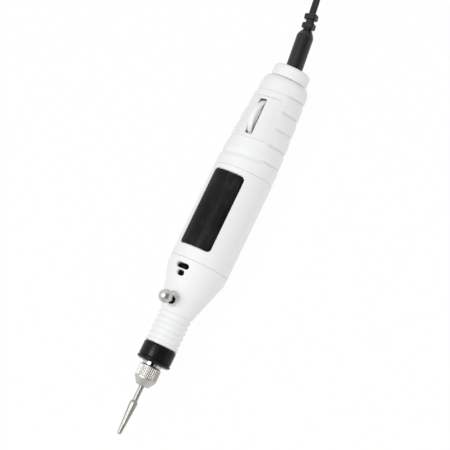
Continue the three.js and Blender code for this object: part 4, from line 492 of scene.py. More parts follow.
def grid_piece(name, grid, finish, closed_rows=False, sharp=32, uv=None):
    """A closed surface of a grid of places whose columns close on themselves. Its rows close on
    themselves too, or each end is closed by a fan to its middle. uv gives a value to each row
    and each column, one more of each where they close."""
    rows, columns = grid.shape[:2]
    index = np.arange(rows * columns).reshape(rows, columns)
    index = np.hstack([index, index[:, :1]])
    if closed_rows:
        index = np.vstack([index, index[:1]])
    quads = np.stack([index[:-1, :-1], index[1:, :-1], index[1:, 1:], index[:-1, 1:]], axis=-1)
    faces = [quads.reshape(-1, 4)]
    places = grid.reshape(-1, 3)
    charts = None
    if uv is not None:
        chart = np.stack(np.meshgrid(uv[0], uv[1], indexing="ij"), axis=-1)
        parts = [chart[:-1, :-1], chart[1:, :-1], chart[1:, 1:], chart[:-1, 1:]]
        charts = [np.stack(parts, axis=-2).reshape(-1, 4, 2)]
    if not closed_rows:
        middles = grid[[0, -1]].mean(axis=1)
        hubs = len(places) + np.array([0, 1])
        places = np.vstack([places, middles])
        front = np.stack([index[0, :-1], index[0, 1:], np.full(columns, hubs[0])], axis=1)
        rear = np.stack([index[-1, 1:], index[-1, :-1], np.full(columns, hubs[1])], axis=1)
        faces += [front, rear]
        if charts is not None:
            ends = [chart[0, :-1], chart[0, 1:], chart[0, :-1]]
            tails = [chart[-1, 1:], chart[-1, :-1], chart[-1, 1:]]
            charts += [np.stack(ends, axis=1), np.stack(tails, axis=1)]
    return mesh_piece(name, places, faces, finish, sharp, charts)


def spun(name, corners, away, place, finish, columns, radius):
    """A solid turned about an axis. Number `away` of a corner is its distance from the axis, and
    `place` gives the places. A profile that starts and ends on the axis is closed by fans, and
    any other closes on itself."""
    bored = corners[0][away] > 0
    profile = softened(corners, radius, closed=bored)
    if not bored:
        profile = profile[1:-1]
    grid = place(profile[:, :1], profile[:, 1:], even_turns(columns)[None, :])
    return grid_piece(name, grid, finish, closed_rows=bored)


def turned(name, corners, finish, columns=96, radius=0.12):
    """A solid turned about the pen's axis from corners of (station, radius)."""
    return spun(name, corners, 1, around_pen, finish, columns, radius)


def post(name, x, y, corners, finish, columns=64, radius=0.12):
    """A solid turned about an upright axis at (x, y) from corners of (radius, height)."""

    def place(away, height, turn):
        return around_post(x, y, away, height, turn)

    return spun(name, corners, 0, place, finish, columns, radius)


def stacked(name, flat, middle, levels, finish, sharp=32):
    """A closed solid of flat outlines round a middle, with one at each height."""
    heights = np.asarray(levels, float)[:, None]
    parts = np.broadcast_arrays(flat[..., 0] + middle[0], flat[..., 1] + middle[1], heights)
    return grid_piece(name, np.stack(parts, axis=-1), finish, sharp=sharp)


def carved(piece, *tools):
    """The piece less its tools, by an exact boolean that is applied; the tools are removed."""
    for tool in tools:
        cut = piece.modifiers.new("cut", "BOOLEAN")
        cut.operation, cut.solver, cut.object = "DIFFERENCE", "EXACT", tool
        bpy.context.view_layer.update()
        seen = piece.evaluated_get(bpy.context.evaluated_depsgraph_get())
        made = bpy.data.meshes.new_from_object(seen)
        piece.modifiers.clear()
        old, piece.data = piece.data, made
        bpy.data.meshes.remove(old)
        bpy.data.objects.remove(tool)
    piece.data.set_sharp_from_angle(angle=math.radians(32))
    return piece


def fitted(piece, *nodes):
    """The piece stands for its solids, which it hides, and rides on their body."""
    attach(piece, BODIES[nodes[0]])
    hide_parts(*nodes)
    return piece


# Finishes


class Wire:
    """A shader socket in a sum: 1 - mask or mask * 2 adds its Math node."""

    def __init__(self, paint, socket):
        self.paint, self.socket = paint, socket

    def __add__(self, other):
        return self.paint.maths("ADD", self, other)

    def __rsub__(self, other):
        return self.paint.maths("SUBTRACT", other, self)

    def __mul__(self, other):
        return self.paint.maths("MULTIPLY", self, other)

    __radd__, __rmul__ = __add__, __mul__


class Paint:
    """One material, or the world, and the nodes that make it."""

    def __init__(self, name, world=None):
        self.material = world or bpy.data.materials.new(name)
        self.material.use_nodes = True
        self.tree = self.material.node_tree
        self.tree.nodes.clear()

    def node(self, kind, settings=None, values=None, output=0):
        """Adds a node: its settings come first, then the values or wires of its sockets."""
        made = self.tree.nodes.new("ShaderNode" + kind)
        for key, value in (settings or {}).items():
            setattr(made, key, value)
        for key, value in (values or {}).items():
            if isinstance(value, Wire):
                self.tree.links.new(value.socket, made.inputs[key])
            else:
                made.inputs[key].default_value = value
        return Wire(self, made.outputs[output]) if made.outputs else None

    def maths(self, operation, first, second):
        return self.node("Math", {"operation": operation}, {0: first, 1: second})

    def seen(self, *rays):
        """1 on a ray of one of these kinds, and 0 on any other."""
        found = [self.node("LightPath", output="Is " + ray + " Ray") for ray in rays]
        share = found[0]
        for other in found[1:]:
            share = self.maths("MAXIMUM", share, other)
        return share

    def place(self, output="Object"):
        return self.node("TexCoord", output=output)

    def noise(self, size, detail=2.0, stretch=(1, 1, 1), place=None, roughness=0.5):
        """Noise whose features are about `size` millimetres, drawn out by `stretch`."""
        place = place or self.place()
        scale = tuple(1 / s for s in stretch)
        place = self.node("Mapping", values={"Vector": place, "Scale": scale})
        values = {"Vector": place, "Scale": 1 / (size * MM), "Detail": detail}
        return self.node("TexNoise", values={**values, "Roughness": roughness})

    def between(self, value, low, high):
        """0 where the value is below low, 1 above high, smooth between them."""
        settings = {"interpolation_type": "SMOOTHSTEP"}
        return self.node("MapRange", settings, {0: value, 1: low, 2: high})

    def blend(self, share, first, second):
        settings = {"data_type": "RGBA"}
        return self.node("Mix", settings, {0: share, 6: first, 7: second}, output=2)

    def bump(self, height, depth, normal=None):
        """Surface relief: a height of 0 to 1 stands for `depth` millimetres."""
        values = {"Height": height, "Distance": depth * MM, "Strength": 1.0}
        if normal is not None:
            values["Normal"] = normal
        return self.node("Bump", values=values)

    def coated(self, colour, roughness, relief, metal=0.0, shine=0.5):
        """The material with one principled shader, whose reflection has the level `shine`."""
        values = {"Base Color": colour, "Roughness": roughness, "Normal": relief}
        values.update({"Metallic": metal, "Specular IOR Level": shine})
        return self.ended(self.node("BsdfPrincipled", values=values))

    def emission(self, level):
        return self.node("Emission", values={"Color": (1, 1, 1, 1), "Strength": level})

    def ended(self, shader, end="OutputMaterial"):
        """The material or world, with the shader as its surface."""
        self.node(end, values={"Surface": shader})
        return self.material


def rgb(colour, level=1.0):
    """A colour at a level of brightness, as the four numbers that a socket takes."""
    return tuple(min(1.0, part * level) for part in colour[:3]) + (1.0,)


def moulded(name, colour, roughness, grain=0.35, depth=0.004, mottle=0.015, shine=0.5):
    """Moulded plastic: a slow mottle in the colour, uneven gloss and a fine skin of relief."""
    paint = Paint(name)
    slow = paint.noise(9, detail=3)
    fine = paint.noise(grain, detail=2)
    shade = paint.blend(slow, rgb(colour, 1 - mottle), rgb(colour, 1 + mottle))
    gloss = slow * 0.05 + fine * 0.025 + (roughness - 0.0375)
    return paint.coated(shade, gloss, paint.bump(fine, depth), shine=shine)


def plated(name, colour, roughness, axis="X"):
    """Turned and plated metal: fine tool lines round the axis, and slow stains in its shine."""
    paint = Paint(name)
    stretch = {"X": (1, 60, 60), "Z": (60, 60, 1)}[axis]
    lines = paint.noise(0.3, detail=3, stretch=stretch)
    slow = paint.noise(4, detail=4)
    shade = paint.blend(slow, rgb(colour, 0.88), rgb(colour, 1.048))
    gloss = slow * 0.10 + lines * 0.06 + (roughness - 0.08)
    return paint.coated(shade, gloss, paint.bump(lines, 0.0015), metal=1.0)


def collar_finish_with_painted_slot_shade(name, colour):
    """Nickel, with painted shade below the collar's skin: the distance from the axis tells its
    slots, whose inside is coloured near black.
    """
    paint = Paint(name)
    centre = {0: paint.place(), 1: (0, 0, AXIS_Z * MM)}
    away = paint.node("VectorMath", {"operation": "SUBTRACT"}, centre)
    flat = paint.node("VectorMath", {"operation": "MULTIPLY"}, {0: away, 1: (0, 1, 1)})
    radius = paint.node("VectorMath", {"operation": "LENGTH"}, {0: flat}, output="Value")
    skin = paint.between(radius, 4.2 * MM, 4.36 * MM)
    slow = paint.noise(4, detail=4)
    shade = paint.blend(slow, rgb(colour, 0.9), rgb(colour, 1.04))
    # painted shade: below the collar's skin, in the slots, the colour goes near black
    shade = paint.blend(skin, (0.012, 0.012, 0.013, 1), shade)
    gloss = slow * 0.1 + (1 - skin) * 0.3 + 0.2
    return paint.coated(shade, gloss, paint.bump(slow, 0.01), metal=1.0)


def plain(name, colour, roughness, metal=0.0, grain=0.6):
    """An inner piece's finish: mottled colour, uneven gloss and grain."""
    paint = Paint(name)
    slow = paint.noise(3.5, detail=4)
    fine = paint.noise(grain, detail=3)
    shade = paint.blend(slow, rgb(colour, 0.88), rgb(colour, 1.12))
    gloss = fine * 0.14 + (roughness - 0.07)
    return paint.coated(shade, gloss, paint.bump(fine, 0.006), metal=metal)


def plate_finish(name, colour):
    """Glossy black plate, with faint warm streaks along it."""
    paint = Paint(name)
    streaks = paint.noise(0.5, detail=3, stretch=(14, 1, 1), roughness=0.65)
    slow = paint.noise(8, detail=2)
    share = paint.between(streaks * slow, 0.22, 0.42)
    shade = paint.blend(share, rgb(colour), (0.020, 0.018, 0.016, 1.0))
    gloss = streaks * 0.10 + 0.16
    return paint.coated(shade, gloss, paint.bump(streaks, 0.002), shine=0.11)


def bit_finish(name, colour):
    """Ground steel, with a frosted, paler tip where the grit begins."""
    paint = Paint(name)
    split = paint.node("SeparateXYZ", values={0: paint.place()})
    tip = 1 - paint.between(split, (TIP_X + 1.6) * MM, (TIP_X + 3.6) * MM)
    grit = paint.noise(0.09, detail=2)
    lines = paint.noise(0.25, detail=3, stretch=(40, 1, 1))
    slow = paint.noise(3, detail=3)
    base = paint.blend(slow, rgb(colour, 0.86), rgb(colour, 1.06))
    shade = paint.blend(tip * 0.6, base, rgb(colour, 1.3))
    gloss = lines * 0.08 + tip * 0.1 + 0.4
    return paint.coated(shade, gloss, paint.bump(grit * tip, 0.02), metal=1.0)


def jacket_finish(name, colour):
    """Flexible cord jacket: satin, with faint drawn lines along it that follow its own map."""
    paint = Paint(name)
    chart = paint.place("UV")
    drawn = paint.noise(1, detail=2, stretch=(900, 1, 1), place=chart)
    fine = paint.noise(0.25, detail=3)
    shade = paint.blend(fine, rgb(colour, 0.8), rgb(colour, 1.3))
    gloss = drawn * 0.1 + fine * 0.06 + 0.26
    relief = paint.bump(fine, 0.006, normal=paint.bump(drawn, 0.01))
    return paint.coated(shade, gloss, relief, shine=0.36)


def make_finishes(look):
    """Every slot of the record has its finish."""
    cover = [0.97 * part for part in look.white]
    return {
        "white_shell": moulded("white shell", look.white, 0.44, 0.35, 0.002, 0.008, 0.32),
        "cover": moulded("cover", cover, 0.44, depth=0.002, shine=0.32),
        "black_cap": moulded("black cap", look.black, 0.19, 0.35, 0.002, 0.3, 0.15),
        "plate": plate_finish("plate", look.plate),
        "nickel": plated("nickel", look.nickel, 0.4),
        "spindle": collar_finish_with_painted_slot_shade("spindle", look.nickel),
        "steel": plated("steel", look.steel, 0.30),
        "brass": plated("brass", (0.68, 0.50, 0.24), 0.32),
        "zinc": plain("zinc", (0.55, 0.57, 0.58), 0.42, metal=1.0),
        "copper": plain("copper", (0.62, 0.27, 0.13), 0.38, metal=1.0, grain=0.35),
        "ferrite": plain("ferrite", (0.04, 0.038, 0.038), 0.7),
        "carbon": plain("carbon", (0.02, 0.02, 0.021), 0.6),
        "cream": plain("cream", (0.62, 0.55, 0.40), 0.5),
        "board": plain("board", (0.03, 0.16, 0.06), 0.4),
        "red_wire": plain("red wire", (0.42, 0.02, 0.015), 0.45),
        "cord": jacket_finish("cord", look.cord),
        "adapter": moulded("adapter", look.adapter, 0.52, 0.28, 0.03, 0.15),
        "bit": bit_finish("bit", look.steel),
        "knob": plated("knob", look.nickel, 0.27, axis="Z"),
    }


FINISH_NAMES = {}


def finish(slot):
    """The material of a finish, by its name."""
    return bpy.data.materials[FINISH_NAMES[slot]]


# The metal parts at the front


def bit_surface(m):
    """The bit: its tip is a quarter circle, then the burr widens to a shoulder and the straight
    shank follows: a profile turned about the axis. Eight fine flutes along the burr take
    depth * (1 - |cos(4 turn)|) off its radius."""
    turn = np.linspace(0, math.pi / 2, 9)[1:]
    tip = np.stack([m.tip_radius * (1 - np.cos(turn)), m.tip_radius * np.sin(turn)], axis=1)
    tip[:, 0] += m.tip_start
    end = reach("engraving_bit", 1)
    chamfer = 0.3
    corners = [
        tuple(tip[-1]),
        (m.burr_length, m.burr_radius),
        (m.burr_length + m.shoulder_length, m.shank_radius),
        (end - chamfer, m.shank_radius),
        (end, m.shank_radius - chamfer),
        (end, 0),
    ]
    body = softened(corners, 0.16, closed=False)
    point = (m.tip_start + 0.004, 0.09)
    profile = refined(np.vstack([[point], tip[:-1], body[:-1]]), 0.5, closed=False)
    station, radius = profile[:, :1], profile[:, 1:]
    turn = even_turns(96)[None, :]
    fluted = smooth(station, m.tip_start + 1, m.tip_start + 3) * (radius > m.shank_radius + 0.01)
    radius = radius - m.flute_depth * (1 - np.abs(np.cos(4 * turn + 0.3))) * fluted
    return grid_piece("bit_ground", around_pen(station, radius, turn), finish("bit"))


def nut_surface(m):
    """The nut: a cone, then a knurl. Deep grooves run along it where u is a whole number, and
    shallow ones run round it where w is, with u counted round the nut and w along it."""
    front, rear = NUT_FRONT + m.nut_shift, NUT_REAR + m.nut_shift
    shoulder = front + m.nut_cone
    start, end = shoulder + m.knurl_margin, rear - m.knurl_margin
    thread_start = front + 4.6
    cone_mouth, cone_end = 3.3, 2.05
    corners = [
        (front, m.nut_bore),
        (front, m.nut_face),
        (shoulder, m.nut_radius),
        (rear, m.nut_radius),
        (rear, m.nut_thread),
        (thread_start, m.nut_thread),
        (thread_start, cone_mouth),
        (front + 1.3, cone_end),
        (front + 1, m.nut_bore),
    ]
    profile = refined(softened(corners, [0.15, 0.3, 0.25, 0.35] + [0.1] * 5), 0.09, start, end)
    station, radius = profile[:, :1], profile[:, 1:]
    turn = even_turns(m.knurl_columns * 14)[None, :]
    u = turn / (2 * math.pi) * m.knurl_columns
    w = (station - start) / (end - start) * m.knurl_rows
    along, across = (1 - smooth(np.abs(part - np.round(part)), 0.02, 0.3) for part in (u, w))
    cut = np.maximum(along, 0.3 * across)
    inside = (station > start - 1e-6) & (station < end + 1e-6) & (radius > m.nut_radius - 0.1)
    fade = smooth(station, start, start + 0.25) * (1 - smooth(station, end - 0.25, end))
    grid = around_pen(station, radius - m.knurl_depth * cut * inside * fade, turn)
    return grid_piece("nut_knurled", grid, finish("nickel"), closed_rows=True, sharp=50)


def spindle_surface(m):
    """The spindle: a turned shaft, with two slots in its collar and a cross hole for the lock's
    pin. A slot is the strip where the distance across, r sin(turn), is under half its width."""
    nose, tail = reach("spindle", 0), reach("spindle", 1)
    front = NUT_REAR + m.nut_shift + SEAT_GAP
    rear = CAP_FRONT + 3.4
    first = reach("front_bearing_inner_ring", 0) - SEAT_GAP
    last = reach("rear_bearing_inner_ring", 1) + SEAT_GAP
    shaft, stub, mouth = 3.9, 2.5, 3.3
    collet_hole, collet_end = 2.7, 41.1
    shank_hole, shank_end = 1.475, 46.1
    motor_hole = 1.2
    corners = [
        (nose, mouth),
        (nose, m.thread_radius),
        (front, m.thread_radius),
        (front, m.collar_radius),
        (rear, m.collar_radius),
        (rear, shaft),
        (first, shaft),
        (first, m.journal_radius),
        (last, m.journal_radius),
        (last, stub),
        (tail, stub),
        (tail, motor_hole),
        (shank_end, motor_hole),
        (shank_end, shank_hole),
        (collet_end, shank_hole),
        (collet_end, collet_hole),
        (nose + 0.6, collet_hole),
    ]
    profile = refined(softened(corners, 0.12), 0.15, front - 0.2, rear + 0.2)
    station, radius = profile[:, :1], profile[:, 1:]
    turn = even_turns(240)[None, :]
    across = np.abs(radius * np.sin(turn - math.radians(33)))
    strip = 1 - smooth(across, m.collar_slot / 2 - 0.06, m.collar_slot / 2 + 0.06)
    along = (1 - smooth(station, rear - 0.6, rear - 0.3)) * (station > front - 0.01)
    cut = strip * along * (radius > m.thread_radius + 0.05)
    radius = np.minimum(radius, mix(radius, m.thread_radius, cut))
    made = finish("spindle")
    piece = grid_piece("spindle_turned", around_pen(station, radius, turn), made, closed_rows=True)
    low, high = AXIS_Z - 5, AXIS_Z + 5
    drill = [(0, low), (m.pin_hole, low), (m.pin_hole, high), (0, high)]
    return carved(piece, post("pin hole tool", LOCK_STATION + TIP_X, 0, drill, made, 48))


# The nose


def cap_surface(n):
    """The black screw cap: a turned profile with a chamfered face, a lip and a groove."""
    rear = NECK_FRONT - SEAT_GAP
    lip = n.neck_radius + n.lip
    face = CAP_FRONT + 0.8
    chamfer = CAP_FRONT + 1.7
    floor = CAP_FRONT + 3.2
    inside = n.neck_radius - 0.6
    hole = 5.0
    corners = [
        (face, hole),
        (face, 6.3),
        (face + 0.2, 7.2),
        (chamfer, lip),
        (chamfer + 0.7, lip),
        (chamfer + 0.94, n.neck_radius - n.lip),
        (chamfer + 1.3, n.neck_radius),
        (rear - 0.55, n.neck_radius),
        (rear, n.neck_radius - 0.55),
        (rear, inside),
        (floor, inside),
        (floor, hole),
    ]
    radii = [0.15, 0.3, 0.3, 0.25, 0.2, 0.12, 0.2, 0.25, 0.2, 0.1, 0.1, 0.1]
    return turned("nose_cap_moulded", corners, finish("black_cap"), 128, radii)


def cone_radius(n, station):
    """The cone's radius: straight from the neck to the round before the band."""
    share = (station - (NECK_FRONT + n.neck_length)) / (n.cone_length - n.cone_round)
    return mix(n.neck_radius, n.band_radius - 0.1, share)


def vent_tool(n, name, middle, length):
    """A cutter for one vent: its outline drops from above the cone, and widens where it meets
    the surface, which leaves a round rim."""
    outline = pad_outline(n.vent_width, length, n.vent_width / 2 - 0.01, 0.2)
    depth = np.array([1.2, 0.32, 0.2, 0.08, 0.0, -0.1, -0.22, -4.5])
    flare = np.array([0.32, 0.32, 0.3, 0.2, 0.14, 0.06, 0.0, 0.0])
    ways = outline / np.linalg.norm(outline, axis=1)[:, None]
    flat = outline[None] + ways[None] * flare[:, None, None]
    station, across = flat[..., 0] + middle, flat[..., 1]
    top = np.sqrt(np.maximum(cone_radius(n, station) ** 2 - across**2, 1))
    return grid_piece(name, in_pen(station, across, top + depth[:, None]), finish("white_shell"))


def nose_surface(n):
    """The white nose housing: a neck with scalloped grooves, the cone and a band. Each groove
    takes depth * cos^2(pi d / width) off the radius at a distance d from its middle. On top,
    r cos(turn) is held to one height inside each of three circles round the knob: a flat spot
    face, the boss on it and the well in the boss."""
    cone_start = NECK_FRONT + n.neck_length
    cone_end = cone_start + n.cone_length
    round_start = cone_end - n.cone_round
    seam = NOSE_SEAM - SEAM_GAP / 2
    spigot_front = NECK_FRONT - 6.3
    spigot_rear = NOSE_SEAM + 4.2
    spigot_wall = 1.4
    seat, seat_rear = 6.3, 73.1
    throat, throat_front = 10.0, 74
    corners = [
        (spigot_front, seat),
        (spigot_front, n.neck_radius - 0.9),
        (NECK_FRONT, n.neck_radius - 0.9),
        (NECK_FRONT, n.neck_radius),
        (cone_start, n.neck_radius),
        (round_start, n.band_radius - 0.1),
        (cone_end, n.band_radius),
        (seam, n.band_radius),
        (seam, n.bore_radius),
        (spigot_rear, n.bore_radius),
        (spigot_rear, n.bore_radius - spigot_wall),
        (cone_end, n.bore_radius - spigot_wall),
        (round_start, 12.2),
        (throat_front, throat),
        (seat_rear, seat),
    ]
    radii = [0.1, 0.1, 0.1, 0.25, 0.3, 0.8, 0.8, 0.22] + [0.1] * 7
    profile = refined(softened(corners, radii), 0.17, NECK_FRONT, seam)
    station, radius = profile[:, :1], profile[:, 1:]
    outer = (radius > cone_radius(n, station) - 0.5) & (station > NECK_FRONT - 0.01)
    outer |= (station <= cone_start) & (radius > n.neck_radius - 0.3)
    middle = NECK_FRONT + n.rib_start + n.rib_pitch * np.arange(n.rib_count)
    apart = np.abs(station - middle[None, :]).min(axis=1, keepdims=True)
    groove = np.where(apart < n.rib_width / 2, np.cos(np.pi * apart / n.rib_width) ** 2, 0)
    ribbed = radius - np.where(outer & (station < cone_start), n.rib_depth * groove, 0)
    across = spaced((-6.5, -4.2, 0.3), (-4.2, 4.2, 0.17), (4.2, 6.5, 0.3))
    turn = top_turns(across, np.maximum(ribbed[:, 0], 7.0), 0.55)
    away = np.hypot(station - LOCK_STATION, -ribbed * np.sin(turn))
    on_top = (np.cos(turn) > 0) & outer
    lift = 1 / np.maximum(np.cos(turn), 0.2)
    spot = 1 - smooth(away, n.dimple_radius - 0.12, n.dimple_radius + 0.1)
    boss = 1 - smooth(away, n.boss_radius - 0.16, n.boss_radius)
    well = 1 - smooth(away, n.well_radius - 0.12, n.well_radius)
    shaped = mix(ribbed, np.minimum(ribbed, n.dimple_height * lift), spot)
    shaped = mix(mix(shaped, n.boss_height * lift, boss), n.well_height * lift, well)
    grid = around_pen(station, np.where(on_top, shaped, ribbed), turn)
    piece = grid_piece("nose_moulded", grid, finish("white_shell"), closed_rows=True)
    vents = cone_start + n.vent_start + n.vent_width / 2
    second = vents + n.vent_width + n.vent_gap
    tools = [vent_tool(n, "vent tool 1", vents, 3.9), vent_tool(n, "vent tool 2", second, 6.6)]
    return carved(piece, *tools)


def knob_surface(n):
    """The lock's knob: a ball on a short neck, turned about the lock's upright axis."""
    middle = span("lock_knob")[2][2]
    foot = corner("lock_retainer_ring", 1)[2] + 0.12
    low = -math.sqrt(1 - (n.knob_neck / n.ball_radius) ** 2)
    angle = np.linspace(math.asin(low), math.pi / 2, 40)[1:]
    ball = np.stack([n.ball_radius * np.cos(angle), middle + n.ball_radius * np.sin(angle)], 1)
    bevel = 0.15
    stem = [
        (0.02, foot),
        (n.knob_neck - bevel, foot),
        (n.knob_neck, foot + bevel),
        (n.knob_neck, middle + n.ball_radius * low - 0.05),
    ]
    profile = np.vstack([stem, ball[:-1]])
    x = LOCK_STATION + TIP_X
    grid = around_post(x, 0, profile[:, :1], profile[:, 1:], even_turns(72)[None, :])
    return grid_piece("lock_knob_turned", grid, finish("knob"), sharp=40)


def spring_surface(n):
    """The lock's return spring: a round wire on a helix between the cup's floor and the pin's
    collar: (r cos a, r sin a, rise), whose angle a and rise grow together."""
    low, high, middle = span("lock_spring")
    radius = high[1] - middle[1] - n.spring_wire
    share = np.linspace(0, 1, n.spring_turns * 32 + 1)[:, None]
    angle = 2 * math.pi * n.spring_turns * share
    roll = even_turns(12)[None, :]
    away = radius + n.spring_wire * np.cos(roll)
    height = mix(low[2] + n.spring_wire, high[2] - n.spring_wire, share)
    height = height + n.spring_wire * np.sin(roll)
    grid = around_post(LOCK_STATION + TIP_X, 0, away, height, angle)
    return grid_piece("lock_spring_wound", grid, finish("steel"))


def ring_surface(n):
    """The dark ring that the knob's neck goes through."""
    low, high = corner("lock_retainer_ring", 0)[2] - 0.12, corner("lock_retainer_ring", 1)[2]
    bore, edge = n.ring_bore, n.ring_radius
    corners = [(bore, low), (edge, low), (edge - 0.05, high), (bore, high)]
    x = LOCK_STATION + TIP_X
    return post("lock_ring_moulded", x, 0, corners, finish("black_cap"), 64, 0.15)


# The barrel and its plate


def barrel_surface(b):
    """The barrel: a tube whose rear end is slanted, with a shallow curved bed for the plate. The
    slant moves a row by -y times a share that grows towards the rear."""
    front = NOSE_SEAM + SEAM_GAP / 2
    rear = GRIP_SEAM - SEAM_GAP / 2
    bore = b.radius - b.wall
    corners = [(front, bore), (front, b.radius), (rear, b.radius), (rear, bore)]
    bed_end = LABEL_MIDDLE + b.plate_length / 2 + SEAT_GAP
    bed_start = LABEL_MIDDLE - b.plate_length / 2 - SEAT_GAP
    edge = 0.08
    edges = [end + side for end in (bed_start, bed_end) for side in (-edge, 0, edge)]
    close, round_end = 0.3, 2.4
    rows = spaced(
        (front + close, bed_start - close, 0.8),
        (bed_start - close, bed_start + round_end, 0.14),
        (bed_start + round_end, bed_end - round_end, 0.8),
        (bed_end - round_end, bed_end + close, 0.14),
        (bed_end + close, rear - close, 0.5),
    )
    rows = np.union1d(rows, edges)
    skin = np.stack([rows, np.full(len(rows), b.radius)], axis=1)
    profile = softened(corners, [0.1, 0.22, 0.22, 0.1])
    first = len(profile) // 2
    profile = np.vstack([profile[:first], skin, profile[first:]])
    station, radius = profile[:, :1], profile[:, 1:]
    half = b.plate_width / 2 + SEAT_GAP
    across = spaced(
        (-half - close, -half + round_end, 0.14),
        (-half + round_end, half - round_end, 0.7),
        (half - round_end, half + close, 0.14),
    )
    turn = top_turns(across + PLATE_SHIFT, radius[:, 0], 0.6)
    y = -radius * np.sin(turn)
    away = pad_distance(
        station - LABEL_MIDDLE,
        y - PLATE_SHIFT,
        b.plate_length + 2 * SEAT_GAP,
        b.plate_width + 2 * SEAT_GAP,
        b.plate_corner + SEAT_GAP,
    )
    outside = (radius > b.radius - 0.3) & (np.cos(turn) > 0)
    shaped = radius - b.bed_depth * (1 - smooth(away, -0.09, 0.09)) * outside
    slant = SEAM_SLANT * smooth(station, bed_end + 0.4, rear - 0.4)
    grid = around_pen(station - slant * y, shaped, turn)
    return grid_piece("barrel_moulded", grid, finish("white_shell"), closed_rows=True)


def plate_surface(b):
    """The curved plate: its outline is drawn in towards its middle in steps, and each point is
    lifted on to the barrel's round, x^2 + z^2 = r^2, over both faces and a round edge."""
    outline = pad_outline(b.plate_length, b.plate_width, b.plate_corner, 0.35)
    thick = 0.4
    rings = np.concatenate([np.linspace(0.02, 0.93, 14), [0.965, 0.985]])
    faces = [(s, 0.0, 0.0) for s in rings]
    edge = [(1.0, 0.12, 0.0), (1.0, 0.03, 0.04), (1.0, 0.0, 0.12), (1.0, 0.0, 0.3)]
    under = [(1.0, 0.1, thick), (0.9, 0.0, thick), (0.4, 0.0, thick), (0.02, 0.0, thick)]
    steps = np.array(faces + edge + under)
    share, inset, depth = steps[:, :1, None], steps[:, 1:2, None], steps[:, 2:]
    limit = 1 - inset / (np.linalg.norm(outline, axis=1)[None, :, None] + 1e-9)
    flat = outline[None] * share * limit
    across = flat[..., 1] + PLATE_SHIFT
    height = np.sqrt((b.radius - 0.2 - depth) ** 2 - across**2)
    grid = in_pen(flat[..., 0] + LABEL_MIDDLE, across, height)
    return grid_piece("plate_curved", grid, finish("plate"), sharp=40)


# The grip, its wheel and the rear cap


def grip_radius(g, station):
    """The grip's taper: straight, with a slight swell of a half sine along it."""
    share = (station - GRIP_SEAM) / (GRIP_REAR - GRIP_SEAM - g.end_length)
    swell = g.swell * np.sin(math.pi * np.clip(share, 0, 1))
    return mix(g.front_radius, g.rear_radius, share) + swell


def plateau_radius(g, station):
    """The smooth field round the wheel: it stands a little above the taper, and steps down
    behind it."""
    share = (station - GRIP_SEAM) / (GRIP_REAR - GRIP_SEAM)
    step = 0.42 * smooth(station, PLATEAU_END, PLATEAU_END + 1.6)
    return grip_radius(g, station) + 0.3 + 0.25 * share - step


def grip_skin(g, station, turn):
    """The grip's radius: between the sides, with V grooves and a slight swell between them, and
    the smooth field on top, between the turns of -30 and 50 degrees. A groove is a narrow V
    between round shoulders. The first groove goes on over the top as a soft valley, and the
    ring in front of it is level with the barrel."""
    degrees = np.degrees(np.arctan2(np.sin(turn), np.cos(turn)))
    top = smooth(degrees, -35, -28) * (1 - smooth(degrees, 44, 60))
    middles = GRIP_SEAM + GROOVE_START + g.groove_pitch * np.arange(g.groove_count)
    first = middles[0]
    apart = np.abs(station[..., None] - middles).min(axis=-1)
    shoulders = 0.35 * smooth(apart, 0, g.groove_width * 0.7)
    groove = 1 - shoulders - 0.65 * smooth(apart, 0, g.groove_width * 0.24)
    within = np.mod(station - first, g.groove_pitch) / g.groove_pitch
    swell = np.where(station > first, 4 * within * (1 - within), 0)
    front = g.front_radius - 0.02
    field = grip_radius(g, station) + g.crown * swell
    field = mix(front, field, smooth(station, first - 0.2, first + 0.2))
    side = field - g.groove_depth * groove
    valley = 1 - smooth(np.abs(station - first + 0.2), 0.0, g.valley_width)
    crest = mix(front, plateau_radius(g, station), smooth(station, first, first + 1.6))
    return mix(side, crest - g.valley_depth * valley, top)


def cover_frame(x, y):
    """Places along and across the cover, which is turned by the grooves' slant."""
    turn = math.atan(GROOVE_SLANT)
    along, across = x - WHEEL_STATION, y - COVER_SHIFT
    return (
        along * math.cos(turn) + across * math.sin(turn),
        across * math.cos(turn) - along * math.sin(turn),
    )


def turned_flat(flat, slant, shift):
    """A flat outline turned by a slant, then moved across the pen."""
    turn = math.atan(slant)
    x = flat[:, 0] * math.cos(turn) - flat[:, 1] * math.sin(turn)
    y = flat[:, 0] * math.sin(turn) + flat[:, 1] * math.cos(turn)
    return np.stack([x, y + shift], axis=1)


